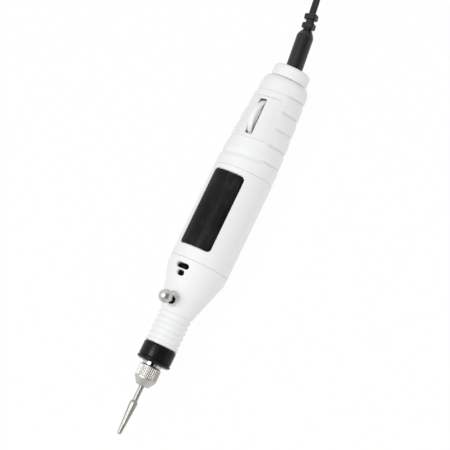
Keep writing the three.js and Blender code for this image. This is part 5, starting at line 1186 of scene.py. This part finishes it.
def grip_surface(g):
    """The grip: its outer skin, a quarter ellipse at the rear end, and a plain bore. Rows are
    slanted by a share of -y, and the cover's bed is pressed in along an outline with round
    corners, which its rows and columns follow."""
    front = GRIP_SEAM + SEAM_GAP / 2
    end_start = GRIP_REAR - g.end_length
    bed_half = g.cover_length / 2 + g.bed_gap
    bed = (WHEEL_STATION - bed_half, WHEEL_STATION + bed_half)
    close, round_end = 0.3, 1.3
    rows = spaced(
        (front + 0.12, front + 0.6, 0.08),
        (front + 0.6, bed[0] - close, 0.17),
        (bed[0] - close, bed[0] + round_end, 0.1),
        (bed[0] + round_end, bed[1] - round_end, 0.2),
        (bed[1] - round_end, bed[1] + close, 0.1),
        (bed[1] + close, end_start, 0.2),
    )
    half = g.cover_width / 2 + g.bed_gap
    across = spaced(
        (-half - 0.4, -half + round_end, 0.1),
        (-half + round_end, half - round_end, 0.5),
        (half - round_end, half + 0.4, 0.1),
    )
    near = smooth(rows, GRIP_SEAM, bed[0] - 2) * (1 - smooth(rows, bed[1] + 1, end_start + 2))
    slanted = GROOVE_SLANT * (rows - WHEEL_STATION) * near
    lines = (across + COVER_SHIFT)[None, :] + slanted[:, None]
    turn = top_turns(lines, np.minimum(grip_radius(g, rows), g.front_radius), 0.5)
    station = np.broadcast_to(rows[:, None], turn.shape)
    skin = grip_skin(g, station, turn)
    y = -skin * np.sin(turn)
    lean = mix(SEAM_SLANT, GROOVE_SLANT, smooth(station, front + 0.5, front + 5.5))
    lean = lean * (1 - 0.5 * smooth(station, end_start - 3, end_start))
    x = station - lean * (y - COVER_SHIFT * near[:, None])
    away = pad_distance(*cover_frame(x, y), 2 * bed_half, 2 * half, 1.1)
    pressed = (1 - smooth(away, -0.07, 0.07)) * (np.cos(turn) > 0)
    skin = skin - g.bed_depth * pressed
    last_turn = turn[-1][None, :]
    t = np.linspace(0, math.pi / 2, 12)[1:, None]
    round_x = mix(x[-1][None, :], GRIP_REAR, np.sin(t))
    round_r = mix(g.end_radius, skin[-1][None, :], np.cos(t))
    lip_x = (front + SEAM_SLANT * (g.front_radius - 0.15) * np.sin(turn[0]))[None, :]
    lip_radii = np.array([g.bore_radius + 0.3, 13.4, g.front_radius - 0.12])[:, None]
    cap_hole, cap_seat = 7.2, GRIP_REAR - 3.9
    spigot_bore, spigot_front = 10.9, GRIP_SEAM - 4.35
    bore = [
        (GRIP_REAR, cap_hole),
        (cap_seat, cap_hole),
        (cap_seat, 8.6),
        (GRIP_SEAM + 4, spigot_bore + 0.3),
        (GRIP_SEAM + 0.15, spigot_bore),
        (spigot_front, spigot_bore),
        (spigot_front, g.bore_radius),
        (GRIP_SEAM - 1.6, g.bore_radius),
    ]
    bore = np.array(bore)
    parts = [
        around_pen(lip_x, lip_radii, turn[:1]),
        around_pen(x, skin, turn),
        around_pen(round_x, round_r, last_turn),
        around_pen(bore[:, :1], bore[:, 1:], last_turn),
        around_pen(lip_x, np.array([[g.bore_radius]]), turn[:1]),
    ]
    made = finish("white_shell")
    piece = grid_piece("grip_moulded", np.concatenate(parts), made, closed_rows=True)
    opening = turned_flat(pad_outline(19.0, g.slot_width + 0.9, 0.8, 0.5), SLOT_SLANT, SLOT_SHIFT)
    levels = [WHEEL_HEIGHT + AXIS_Z, 16.0 + AXIS_Z]
    middle = (WHEEL_STATION + TIP_X, 0)
    return carved(piece, stacked("opening tool", opening, middle, levels, made))


def slot_length(g):
    """The slot's length: the wheel's chord under the cover's inner face, and a gap."""
    depth = 11.25 - WHEEL_HEIGHT
    return 2 * math.sqrt(g.wheel_radius**2 - depth**2) + 1.8


def cover_surface(g):
    """The wheel's cover: between its outer outline and the slot's outline, points lie at shares
    of the way, on both faces and over round edges, lifted on to the plateau's round."""
    length = slot_length(g)
    outer = pad_outline(g.cover_length, g.cover_width, 0.8, 0.2)
    inner = pad_outline(length, g.slot_width, 0.4, 0.02)
    ways = np.arctan2(outer[:, 1] / g.cover_width, outer[:, 0] / g.cover_length)
    slot_ways = np.arctan2(inner[:, 1] / g.slot_width, inner[:, 0] / length)
    order = np.argsort(slot_ways)
    around = slot_ways[order]
    inner = turned_flat(inner, SLOT_SLANT, SLOT_SHIFT)[order]
    outer = turned_flat(outer, GROOVE_SLANT, COVER_SHIFT)
    slot = [np.interp(ways, around, part, period=2 * math.pi) for part in inner.T]
    face = [(s, 0.0) for s in np.linspace(0.02, 0.985, 26)]
    steps = [(0.0, 0.3), (0.0, 0.1), (0.006, 0.03)] + face
    steps += [(0.995, 0.02), (1.0, 0.1), (1.0, 0.5), (1.0, 0.98), (0.5, 1.0), (0.0, 1.0)]
    share, depth = np.array(steps)[:, 0, None, None], np.array(steps)[:, 1, None]
    flat = mix(np.stack(slot, axis=1)[None], outer[None], share)
    station, across = flat[..., 0] + WHEEL_STATION, flat[..., 1]
    level = plateau_radius(g, np.minimum(station, PLATEAU_END - 1.9)) - 0.2 - depth
    grid = in_pen(station, across, np.sqrt(level**2 - across**2))
    return grid_piece("wheel_cover_moulded", grid, finish("cover"), closed_rows=True)


def wheel_surface(g):
    """The thumb wheel: turned about an axis along Y. Its rim has rounded teeth, taken off the
    radius by depth * (1 - |cos(k turn / 2)|), and they fade at both faces."""
    low, high = corner("speed_wheel", 0)[1], corner("speed_wheel", 1)[1]
    rim = g.wheel_radius
    sunk = 0.25
    half = [(0, 1.35), (0, 6.4), (sunk, 6.7), (sunk, 8.3), (0, 8.6), (0, rim - 0.45), (0.35, rim)]
    corners = [(low + inwards, radius) for inwards, radius in half]
    corners += [(high - inwards, radius) for inwards, radius in half[::-1]]
    profile = softened(corners, 0.14)
    across, radius = profile[:, :1], profile[:, 1:]
    turn = even_turns(g.wheel_teeth * 10)[None, :]
    tooth = 1 - np.abs(np.cos(g.wheel_teeth * turn / 2)) ** 0.7
    radius = radius - g.tooth_depth * tooth * smooth(radius, rim - 0.5, rim - 0.25)
    station, height = WHEEL_STATION + radius * np.cos(turn), WHEEL_HEIGHT + radius * np.sin(turn)
    grid = in_pen(station, across, height)
    return grid_piece("speed_wheel_moulded", grid, finish("white_shell"), closed_rows=True)


def rear_cap_surface(g):
    """The rear cap: a turned profile with a round rear edge and the power inlet's hole."""
    front = GRIP_REAR + SEAT_GAP
    spigot = GRIP_REAR - 3.6
    floor = PEN_END - 1.6
    inlet, bore, edge = 3.35, 5.2, 1.5
    turn = np.linspace(0, math.pi / 2, 9)
    edge_x, edge_r = PEN_END - edge * (1 - np.sin(turn)), g.cap_radius - edge * (1 - np.cos(turn))
    corners = [
        (spigot, bore),
        (spigot, 6.9),
        (front, 6.9),
        (front, g.cap_radius),
        *zip(edge_x, edge_r),
        (PEN_END, inlet),
        (floor, inlet),
        (floor, bore),
    ]
    radii = [0.1, 0.1, 0.1, 0.18] + [0.15] * 9 + [0.2, 0.1, 0.1]
    return turned("rear_cap_moulded", corners, finish("white_shell"), 128, radii)


# The plug, the cord and the adapter


def level_frames(path):
    """Unit vectors across and above a path, kept level: across is up x along."""
    along = np.gradient(path, axis=0)
    along /= np.linalg.norm(along, axis=1)[:, None]
    side = np.cross([0.0, 0.0, 1.0], along)
    side /= np.linalg.norm(side, axis=1)[:, None]
    return side, np.cross(along, side)


def swept(name, path, width, height, square, finish, count=40, uv=None):
    """A tube along a level path. Its section is a superellipse: x = w/2 cos^p and z = h/2 sin^p,
    where p is 2 over `square`, so that 2 is round and 4 is nearly a box."""
    side, above = level_frames(path)
    turn = even_turns(count)[None, :] + math.pi / count
    power = 2 / square[:, None]
    across, rise = (
        np.sign(wave) * np.abs(wave) ** power * full[:, None] / 2
        for wave, full in ((np.cos(turn), width), (np.sin(turn), height))
    )
    grid = path[:, None] + side[:, None] * across[..., None] + above[:, None] * rise[..., None]
    return grid_piece(name, grid, finish, uv=uv)


def plug_surface(l):
    """The plug's moulded body: a round body, a shoulder, a neck and two square ribs, along a
    line that leans to one side and bends a little more over its ribs."""
    full = 2 * l.plug_radius
    body = l.plug_length
    neck = (4.0, 3.0, 2.4)
    rows = [(0, full - 1.1, full - 1.1, 2), (0.1, full - 0.5, full - 0.5, 2), (0.4, full, full, 2)]
    shoulder = [
        (0, 0, 0, 2),
        (0.7, 0.1, 0.2, 2.1),
        (1.3, 0.5, 0.7, 2.2),
        (2.2, 1.3, 2, 2.3),
        (3.1, 2.1, 3.2, 2.4),
    ]
    rows += [(body + at, full - wide, full - tall, square) for at, wide, tall, square in shoulder]
    rows += [(body + 3.7, neck[0] + 1, neck[1] + 0.8, neck[2]), (body + 4.1, *neck)]
    root = (neck[0] + 0.3, neck[1] + 0.2, 3)
    rim, top = (5.5, 4.3, 4), (5.9, 4.6, 4.5)
    length = l.rib_length
    rib = [(-0.08, neck), (0, root), (0.04, rim), (0.25, top), (length - 0.25, top)]
    rib += [(length - 0.04, rim), (length, root), (length + 0.08, neck)]
    starts = [body + 4.8 + k * (length + l.rib_gap) for k in range(2)]
    rows += [(start + at, *section) for start in starts for at, section in rib]
    end = starts[-1] + length
    rows = np.array(rows[:-1] + [(end + 0.02, neck[0] - 0.2, neck[1] - 0.2, neck[2])], float)
    fine = np.union1d(rows[:, 0], spaced((0.5, 13, 1.0)))
    values = [np.interp(fine, rows[:, 0], rows[:, k]) for k in (1, 2, 3)]
    run = np.linspace(0, end + 0.1, 400)
    bend = PLUG_BEND * np.clip((run - 19) / 8.2, 0, 1)
    angle = PLUG_LEAN * np.minimum(run / 2, 1) + bend
    ways = (np.cos(angle[:-1]), np.sin(angle[:-1]))
    start = (PEN_END + 0.7 + TIP_X, 0.35)
    line = [a + np.concatenate([[0], np.cumsum(way * run[1])]) for a, way in zip(start, ways)]
    path = np.stack([*(np.interp(fine, run, part) for part in line), fine * 0 + AXIS_Z], axis=1)
    chart = (fine, np.linspace(0, 25, 65))
    piece = swept("plug_moulded", path, *values, finish("cord"), 64, chart)
    low, high, hole = PEN_END - 1, PEN_END + 3.5, 3.0
    socket = [(low, 0), (low, hole), (high, hole), (high, 0)]
    return carved(piece, turned("socket tool", socket, finish("cord"), 48))


def contact_surface(l):
    """The plug's metal contact: a turned barrel with its bore."""
    front, rear = reach("plug_contact_barrel", 0), reach("plug_contact_barrel", 1)
    floor = PEN_END - 1.9
    outer, bore = l.contact_radius, l.contact_bore
    corners = [(rear, 0), (rear, outer), (front, outer), (front, bore), (floor, bore), (floor, 0)]
    return turned("plug_contact_turned", corners, finish("nickel"), 64, 0.2)


def coil_path(l):
    """The coil's centre line: the radius falls and grows at a steady rate in turn, layer by
    layer, and the height climbs over three tenths of a turn where the spiral turns back."""
    total = l.coil_layers * l.coil_turns
    turns = np.linspace(0, total, round(total * 48) + 1)
    layer = np.minimum(turns // l.coil_turns, l.coil_layers - 1)
    within = turns - layer * l.coil_turns
    inward = np.where(layer % 2 > 0, l.coil_turns - within, within)
    start = l.coil_radius + l.coil_pitch * l.coil_turns / 2
    radius = start - l.coil_pitch * inward
    changes = l.coil_turns * np.arange(1, l.coil_layers)
    climbed = smooth(turns[:, None], changes - 0.15, changes + 0.15).sum(axis=1)
    x = LEAD_POINTS[-1][0] + SEAT_GAP + radius * np.sin(2 * math.pi * turns)
    y = LEAD_POINTS[-1][1] - start + radius * np.cos(2 * math.pi * turns)
    z = l.coil_lift + l.cord_thickness / 2 + climbed * l.coil_step
    return np.stack([x, y, z], axis=1)


def smooth_line(points, step):
    """A centripetal Catmull-Rom curve through the points, sampled at even distances."""
    points = np.array(points, float)
    padded = np.vstack([2 * points[0] - points[1], points, 2 * points[-1] - points[-2]])
    gaps = np.sqrt(np.linalg.norm(np.diff(padded, axis=0), axis=1))
    knots = np.concatenate([[0], np.cumsum(gaps)])
    spans = len(points) - 1
    places = [padded[k : k + spans, None] for k in range(4)]
    times = [knots[k : k + spans, None, None] for k in range(4)]
    t = mix(times[1], times[2], np.linspace(0, 1, 12, endpoint=False)[None, :, None])
    for pairs in ([(0, 1), (1, 2), (2, 3)], [(0, 2), (1, 3)], [(1, 2)]):
        shares = [(t - times[a]) / (times[b] - times[a]) for a, b in pairs]
        places = [mix(p, q, share) for p, q, share in zip(places, places[1:], shares)]
    line = np.vstack([places[0].reshape(-1, 3), points[-1:]])
    run = run_along(line)
    at = np.linspace(0, run[-1], round(run[-1] / step) + 1)
    return sampled(line, run, at)


def cord_surface(l):
    """The whole flat cord: two round conductors side by side with a groove between them, along
    the lead, the coil and the tail on one unbroken line."""
    path = smooth_line(np.vstack([LEAD_POINTS, coil_path(l), TAIL_POINTS]), 0.8)
    lobe = l.cord_thickness / 2
    middle = l.cord_width / 2 - lobe
    meet = math.acos(middle / lobe) if middle < lobe else 0.0
    open_turn = math.pi - max(meet, 0.5)
    arc = np.linspace(-open_turn, open_turn, 11)
    right = np.stack([middle + lobe * np.cos(arc), lobe * np.sin(arc)], axis=1)
    section = np.vstack([right, -right])
    side, above = level_frames(path)
    section_across, section_rise = section[None, :, :1], section[None, :, 1:]
    grid = path[:, None] + side[:, None] * section_across + above[:, None] * section_rise
    run = run_along(path)
    chart = (run, np.linspace(0, 9, len(section) + 1))
    piece = grid_piece("cord_jacket", grid, finish("cord"), sharp=60, uv=chart)
    return piece, path, run[-1]


def tie_surface(l):
    """The coil's tie: a flat band with round edges, carried round the bundle's outline."""
    low, high, middle = span("coil_tie")
    half = high[0] - middle[0]
    outline = pad_outline(high[1] - low[1], high[2] - low[2], 2.3, 0.3)
    way = np.roll(outline, -1, 0) - np.roll(outline, 1, 0)
    way /= np.linalg.norm(way, axis=1)[:, None]
    inwards = np.stack([-way[:, 1], way[:, 0]], axis=1)
    thick = l.tie_thickness
    section = softened([(-half, 0), (half, 0), (half, thick), (-half, thick)], 0.2)
    flat = outline[None] + inwards[None] * section[:, 1][:, None, None]
    x = np.broadcast_to(section[:, :1] + middle[0], flat.shape[:2])
    grid = np.stack([x, flat[..., 0] + middle[1], flat[..., 1] + middle[2]], axis=-1)
    return grid_piece("coil_tie_band", grid, finish("black_cap"), closed_rows=True)


def case_surface(node, l, up):
    """Half of the adapter's case: its outline is drawn in over the round outer edge, a quarter
    circle, and closed to the middle on both faces."""
    low, high, middle = span(node)
    length, width = high[0] - low[0], high[1] - low[1]
    turn = np.linspace(0, math.pi / 2, 8)
    inset = l.case_bevel * (1 - np.cos(turn))
    rise = high[2] - low[2] - l.case_bevel * (1 - np.sin(turn))
    hub = 30
    rows = [(hub, 0.0), (l.case_bevel, 0.0), (0.25, 0.0), (0.07, 0.05), (0.0, 0.2)]
    rows += [(0.0, s) for s in np.linspace(0.6, rise[0] - 0.2, 6)]
    rows += list(zip(inset, rise)) + [(l.case_bevel + 2, rise[-1]), (hub, rise[-1])]
    drawn, level = np.array(rows).T
    outline = pad_outline(length, width, l.case_corner, 0.8)
    inner = np.array([length, width]) / 2 - l.case_corner
    outwards = (outline - np.clip(outline, -inner, inner)) / l.case_corner
    near = outline[None] - outwards[None] * np.minimum(drawn, l.case_corner * 0.9)[:, None, None]
    flat = np.where((drawn == hub)[:, None, None], outline[None] * 0.02, near)
    levels = low[2] + level if up else high[2] - level
    return stacked(node + "_moulded", flat, middle, levels, finish("adapter"))


def blade_tool(node, gap):
    """A box round a blade's root, grown by a gap, to cut its pocket."""
    low, high, middle = span(node)
    outline = pad_outline(high[0] - low[0] + 2 * gap, high[1] - low[1] + 2 * gap, 0.2, 0.4)
    levels = [low[2] - gap, high[2]]
    return stacked(node + " pocket tool", outline, middle, levels, finish("adapter"))


def blade_surface(node):
    """One contact blade: a flat bar with round edges, drawn in over its last 1.6 mm."""
    low, high, middle = span(node)
    tall = high[2] - low[2]
    rows = [(0, 0.15), (0.15, 0), (tall - 1.6, 0)]
    rows += [(tall - 0.5, 0.14), (tall - 0.1, 0.4), (tall, 0.6)]
    level, drawn = np.array(rows).T
    outline = pad_outline(high[0] - low[0], high[1] - low[1], 0.2, 0.25)
    shrink = np.stack([1 - drawn * 0.55, 1 - drawn], axis=1)
    flat = outline[None] * shrink[:, None]
    return stacked(node + "_stamped", flat, middle, low[2] + level, finish("nickel"), sharp=45)


def relief_surface():
    """The adapter's strain relief: a taper with three shallow rings."""
    low, high, middle = span("adapter_relief")
    x = spaced((low[0], high[0], 0.2))
    share = (x - x[0]) / np.ptp(x)
    grow = share**1.6
    on_rings = (share > 0.12) & (share < 0.72)
    ringed = 0.45 * np.where(on_rings, np.sin(math.pi * (share - 0.12) / 0.1) ** 2, 0)
    width = mix(4.6, 7.0, grow) - ringed
    height = mix(3.2, 6.0, grow) - ringed
    path = np.stack([x, 0 * x + middle[1], 0 * x + middle[2]], axis=1)
    return swept("adapter_relief_moulded", path, width, height, 2.4 + 0 * x, finish("adapter"))


# Operators: one for each piece or group of like pieces


def group(key):
    return sizes_of(getattr(bpy.context.scene, "engraver_" + key))


def built(sizes, **makers):
    """Makes the piece of each node by its maker."""
    for node, maker in makers.items():
        fitted(maker(sizes), node)
    return {"FINISHED"}


def stage_sheet(name, corners, material):
    """A flat sheet of the studio, from its four corners in metres."""
    mesh = bpy.data.meshes.new(name)
    mesh.from_pydata(corners, [], [(0, 1, 2, 3)])
    mesh.materials.append(material)
    sheet = bpy.data.objects.new(name, mesh)
    bpy.context.scene.collection.objects.link(sheet)
    return sheet


class ENGRAVER_OT_camera(bpy.types.Operator):
    """Sets the camera at the photograph's angle."""

    bl_idname = "engraver.camera"
    bl_label = "Camera"

    def execute(self, context):
        look = context.scene.engraver_look
        back = Vector((-0.13, -0.5103, 0.8501)).normalized()
        along = Vector((0.9915, -0.0669, 0.1115))
        along = (along - back * along.dot(back)).normalized()
        down = along.cross(back)
        roll = math.atan2(0.8974, 0.4412) + math.radians(0.49)
        right = along * math.cos(roll) + down * math.sin(roll)
        up = back.cross(right)
        middle = Vector((0.01455, 0, AXIS_Z * MM)) + down * 0.00232
        data = bpy.data.cameras.new("photo camera")
        data.lens, data.sensor_width = look.focal, 36
        data.clip_start, data.clip_end = 0.05, 20
        camera = bpy.data.objects.new("photo camera", data)
        turn = Matrix((right, up, back)).transposed().to_4x4()
        camera.matrix_world = Matrix.Translation(middle + back * look.distance) @ turn
        context.scene.collection.objects.link(camera)
        context.scene.camera = camera
        return {"FINISHED"}


class ENGRAVER_OT_finishes(bpy.types.Operator):
    """Makes the finishes, and puts them on the solids that stay."""

    bl_idname = "engraver.finishes"
    bl_label = "Finishes"

    def execute(self, context):
        made = make_finishes(context.scene.engraver_look)
        FINISH_NAMES.update({slot: material.name for slot, material in made.items()})
        for name, solid in frame["nodes"].items():
            solid.data.materials.clear()
            solid.data.materials.append(finish(SLOTS[name]))
        return {"FINISHED"}


class ENGRAVER_OT_cord(bpy.types.Operator):
    """Lays the flat cord along its lead, coil and tail, and ties the coil."""

    bl_idname = "engraver.cord"
    bl_label = "Cord"

    def execute(self, context):
        sizes = group("lead")
        piece, path, length = cord_surface(sizes)
        fitted(piece, "cord_lead", "cord_coil", "cord_tail")
        context.scene["engraver_cord_length"] = length * MM
        context.scene["engraver_cord_path"] = (path[::2] * MM).ravel().tolist()
        return built(sizes, coil_tie=tie_surface)


class ENGRAVER_OT_plug(bpy.types.Operator):
    """Makes the plug's moulded body and its contact."""

    bl_idname = "engraver.plug"
    bl_label = "Plug"

    def execute(self, context):
        makers = {"plug_overmould": plug_surface, "plug_contact_barrel": contact_surface}
        return built(group("lead"), **makers)


class ENGRAVER_OT_adapter(bpy.types.Operator):
    bl_idname = "engraver.adapter"
    bl_label = "Adapter"

    def execute(self, context):
        sizes = group("lead")
        back = fitted(case_surface("adapter_back", sizes, False), "adapter_back")
        front = case_surface("adapter_front", sizes, True)
        blades = ["adapter_blade_left", "adapter_blade_right"]
        front = fitted(carved(front, *[blade_tool(node, 0.2) for node in blades]), "adapter_front")
        relief = fitted(relief_surface(), "adapter_relief")
        stamped = [fitted(blade_surface(node), node) for node in blades]
        return {"FINISHED"}


class ENGRAVER_OT_metal(bpy.types.Operator):
    """Makes the bit, the knurled nut and the spindle."""

    bl_idname = "engraver.metal"
    bl_label = "Bit, nut and spindle"

    def execute(self, context):
        makers = {"engraving_bit": bit_surface, "collet_nut": nut_surface}
        return built(group("metal"), **makers, spindle=spindle_surface)


class ENGRAVER_OT_nose(bpy.types.Operator):
    """Makes the nose cap and the nose housing."""

    bl_idname = "engraver.nose"
    bl_label = "Nose"

    def execute(self, context):
        return built(group("nose"), nose_cap=cap_surface, nose_housing=nose_surface)


class ENGRAVER_OT_lock(bpy.types.Operator):
    """Makes the spindle lock's knob, its ring, and the spring."""

    bl_idname = "engraver.lock"
    bl_label = "Spindle lock"

    def execute(self, context):
        sizes = group("nose")
        built(sizes, lock_knob=knob_surface, lock_retainer_ring=ring_surface)
        low, top, _ = span("lock_spring")
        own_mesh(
            fitted(spring_surface(sizes), "lock_spring"),
            "lock_press",
            axis=(0, 0, 1),
            anchor=((LOCK_STATION + TIP_X) * MM, 0, top[2] * MM),
            keep=1 - LOCK_TRAVEL / (top[2] - low[2]),
        )
        return {"FINISHED"}


class ENGRAVER_OT_barrel(bpy.types.Operator):
    """Makes the barrel and its plate."""

    bl_idname = "engraver.barrel"
    bl_label = "Barrel and plate"

    def execute(self, context):
        return built(group("barrel"), barrel_housing=barrel_surface, label_plate=plate_surface)


class ENGRAVER_OT_grip(bpy.types.Operator):
    """Makes the grip, the wheel's cover and the rear cap."""

    bl_idname = "engraver.grip"
    bl_label = "Grip"

    def execute(self, context):
        makers = {"grip_housing": grip_surface, "wheel_cover_plate": cover_surface}
        return built(group("grip"), **makers, rear_cap=rear_cap_surface)


class ENGRAVER_OT_wheel(bpy.types.Operator):
    """Makes the thumb wheel."""

    bl_idname = "engraver.wheel"
    bl_label = "Thumb wheel"

    def execute(self, context):
        return built(group("grip"), speed_wheel=wheel_surface)


class ENGRAVER_OT_stage(bpy.types.Operator):
    """Makes the floor, the lamps, two cards that the metal mirrors, and the world."""

    bl_idname = "engraver.stage"
    bl_label = "Studio"

    def execute(self, context):
        look = context.scene.engraver_look
        scene = context.scene
        scene.view_settings.view_transform = "Standard"
        paint = Paint("pale floor")
        share = paint.seen("Camera", "Glossy", "Transmission") * 0.975
        matt = paint.node("BsdfDiffuse", values={"Color": (0.9, 0.9, 0.9, 1)})
        shader = paint.node("MixShader", values={0: share, 1: matt, 2: paint.emission(1.0)})
        floor = [(-1.5, -1.5, 0), (1.5, -1.5, 0), (1.5, 1.5, 0), (-1.5, 1.5, 0)]
        stage_sheet("floor", floor, paint.ended(shader))
        near = [(-0.5, -0.6, 0.02), (0.6, -0.6, 0.02), (0.6, -0.3, 0.6), (-0.5, -0.3, 0.6)]
        front = [(-0.6, -0.5, 0.02), (-0.6, 0.3, 0.02), (-0.5, 0.3, 0.4), (-0.5, -0.5, 0.4)]
        for name, corners, level in [("near card", near, 0.26), ("front card", front, 0.7)]:
            grey = Paint(name)
            card = stage_sheet(name, corners, grey.ended(grey.emission(level)))
            card.visible_camera = card.visible_diffuse = card.visible_shadow = False
        for name, place, size, power in [
            ("key light", (-0.2, 0.15, 1.0), 0.6, look.key_power),
            ("fill light", (0.1, -1.0, 0.55), 0.9, look.fill_power),
        ]:
            data = bpy.data.lights.new(name, "AREA")
            data.shape, data.size, data.energy = "DISK", size, power
            lamp = bpy.data.objects.new(name, data)
            lamp.location = place
            lamp.rotation_mode = "QUATERNION"
            lamp.rotation_quaternion = Vector(place).to_track_quat("Z", "Y")
            scene.collection.objects.link(lamp)
        sky = Paint("studio", bpy.data.worlds.new("studio"))
        level = sky.seen("Camera", "Glossy") * (1 - look.ambient) + look.ambient
        light = sky.node("Background", values={"Color": (1, 1, 1, 1), "Strength": level})
        scene.world = sky.ended(light, "OutputWorld")
        return {"FINISHED"}


class ENGRAVER_PT_panel(bpy.types.Panel):
    """Lists the pen's sizes and the steps that build it."""

    bl_label = "Engraving pen"
    bl_idname = "ENGRAVER_PT_panel"
    bl_space_type = "VIEW_3D"
    bl_region_type = "UI"
    bl_category = "Engraving pen"

    def draw(self, context):
        for key in GROUPS:
            sizes = getattr(context.scene, "engraver_" + key)
            box = self.layout.box()
            box.label(text=key.capitalize())
            for name in sizes.__annotations__:
                box.prop(sizes, name)
        for step in STEPS:
            self.layout.operator("engraver." + step)


GROUPS = {
    "metal": EngraverMetal,
    "nose": EngraverNose,
    "barrel": EngraverBarrel,
    "grip": EngraverGrip,
    "lead": EngraverLead,
    "look": EngraverLook,
}
STEPS = {
    "camera": ENGRAVER_OT_camera,
    "finishes": ENGRAVER_OT_finishes,
    "cord": ENGRAVER_OT_cord,
    "plug": ENGRAVER_OT_plug,
    "adapter": ENGRAVER_OT_adapter,
    "metal": ENGRAVER_OT_metal,
    "nose": ENGRAVER_OT_nose,
    "lock": ENGRAVER_OT_lock,
    "barrel": ENGRAVER_OT_barrel,
    "grip": ENGRAVER_OT_grip,
    "wheel": ENGRAVER_OT_wheel,
    "stage": ENGRAVER_OT_stage,
}


def register():
    for made in [*GROUPS.values(), *STEPS.values(), ENGRAVER_PT_panel]:
        bpy.utils.register_class(made)
    for key, made in GROUPS.items():
        setattr(bpy.types.Scene, "engraver_" + key, bpy.props.PointerProperty(type=made))


def unregister():
    for key in GROUPS:
        delattr(bpy.types.Scene, "engraver_" + key)
    for made in [ENGRAVER_PT_panel, *STEPS.values(), *GROUPS.values()]:
        bpy.utils.unregister_class(made)


def main():
    register()
    for step in STEPS:
        if getattr(bpy.ops.engraver, step)() != {"FINISHED"}:
            raise RuntimeError("the step " + step + " did not finish")


if __name__ == "__main__":
    main()
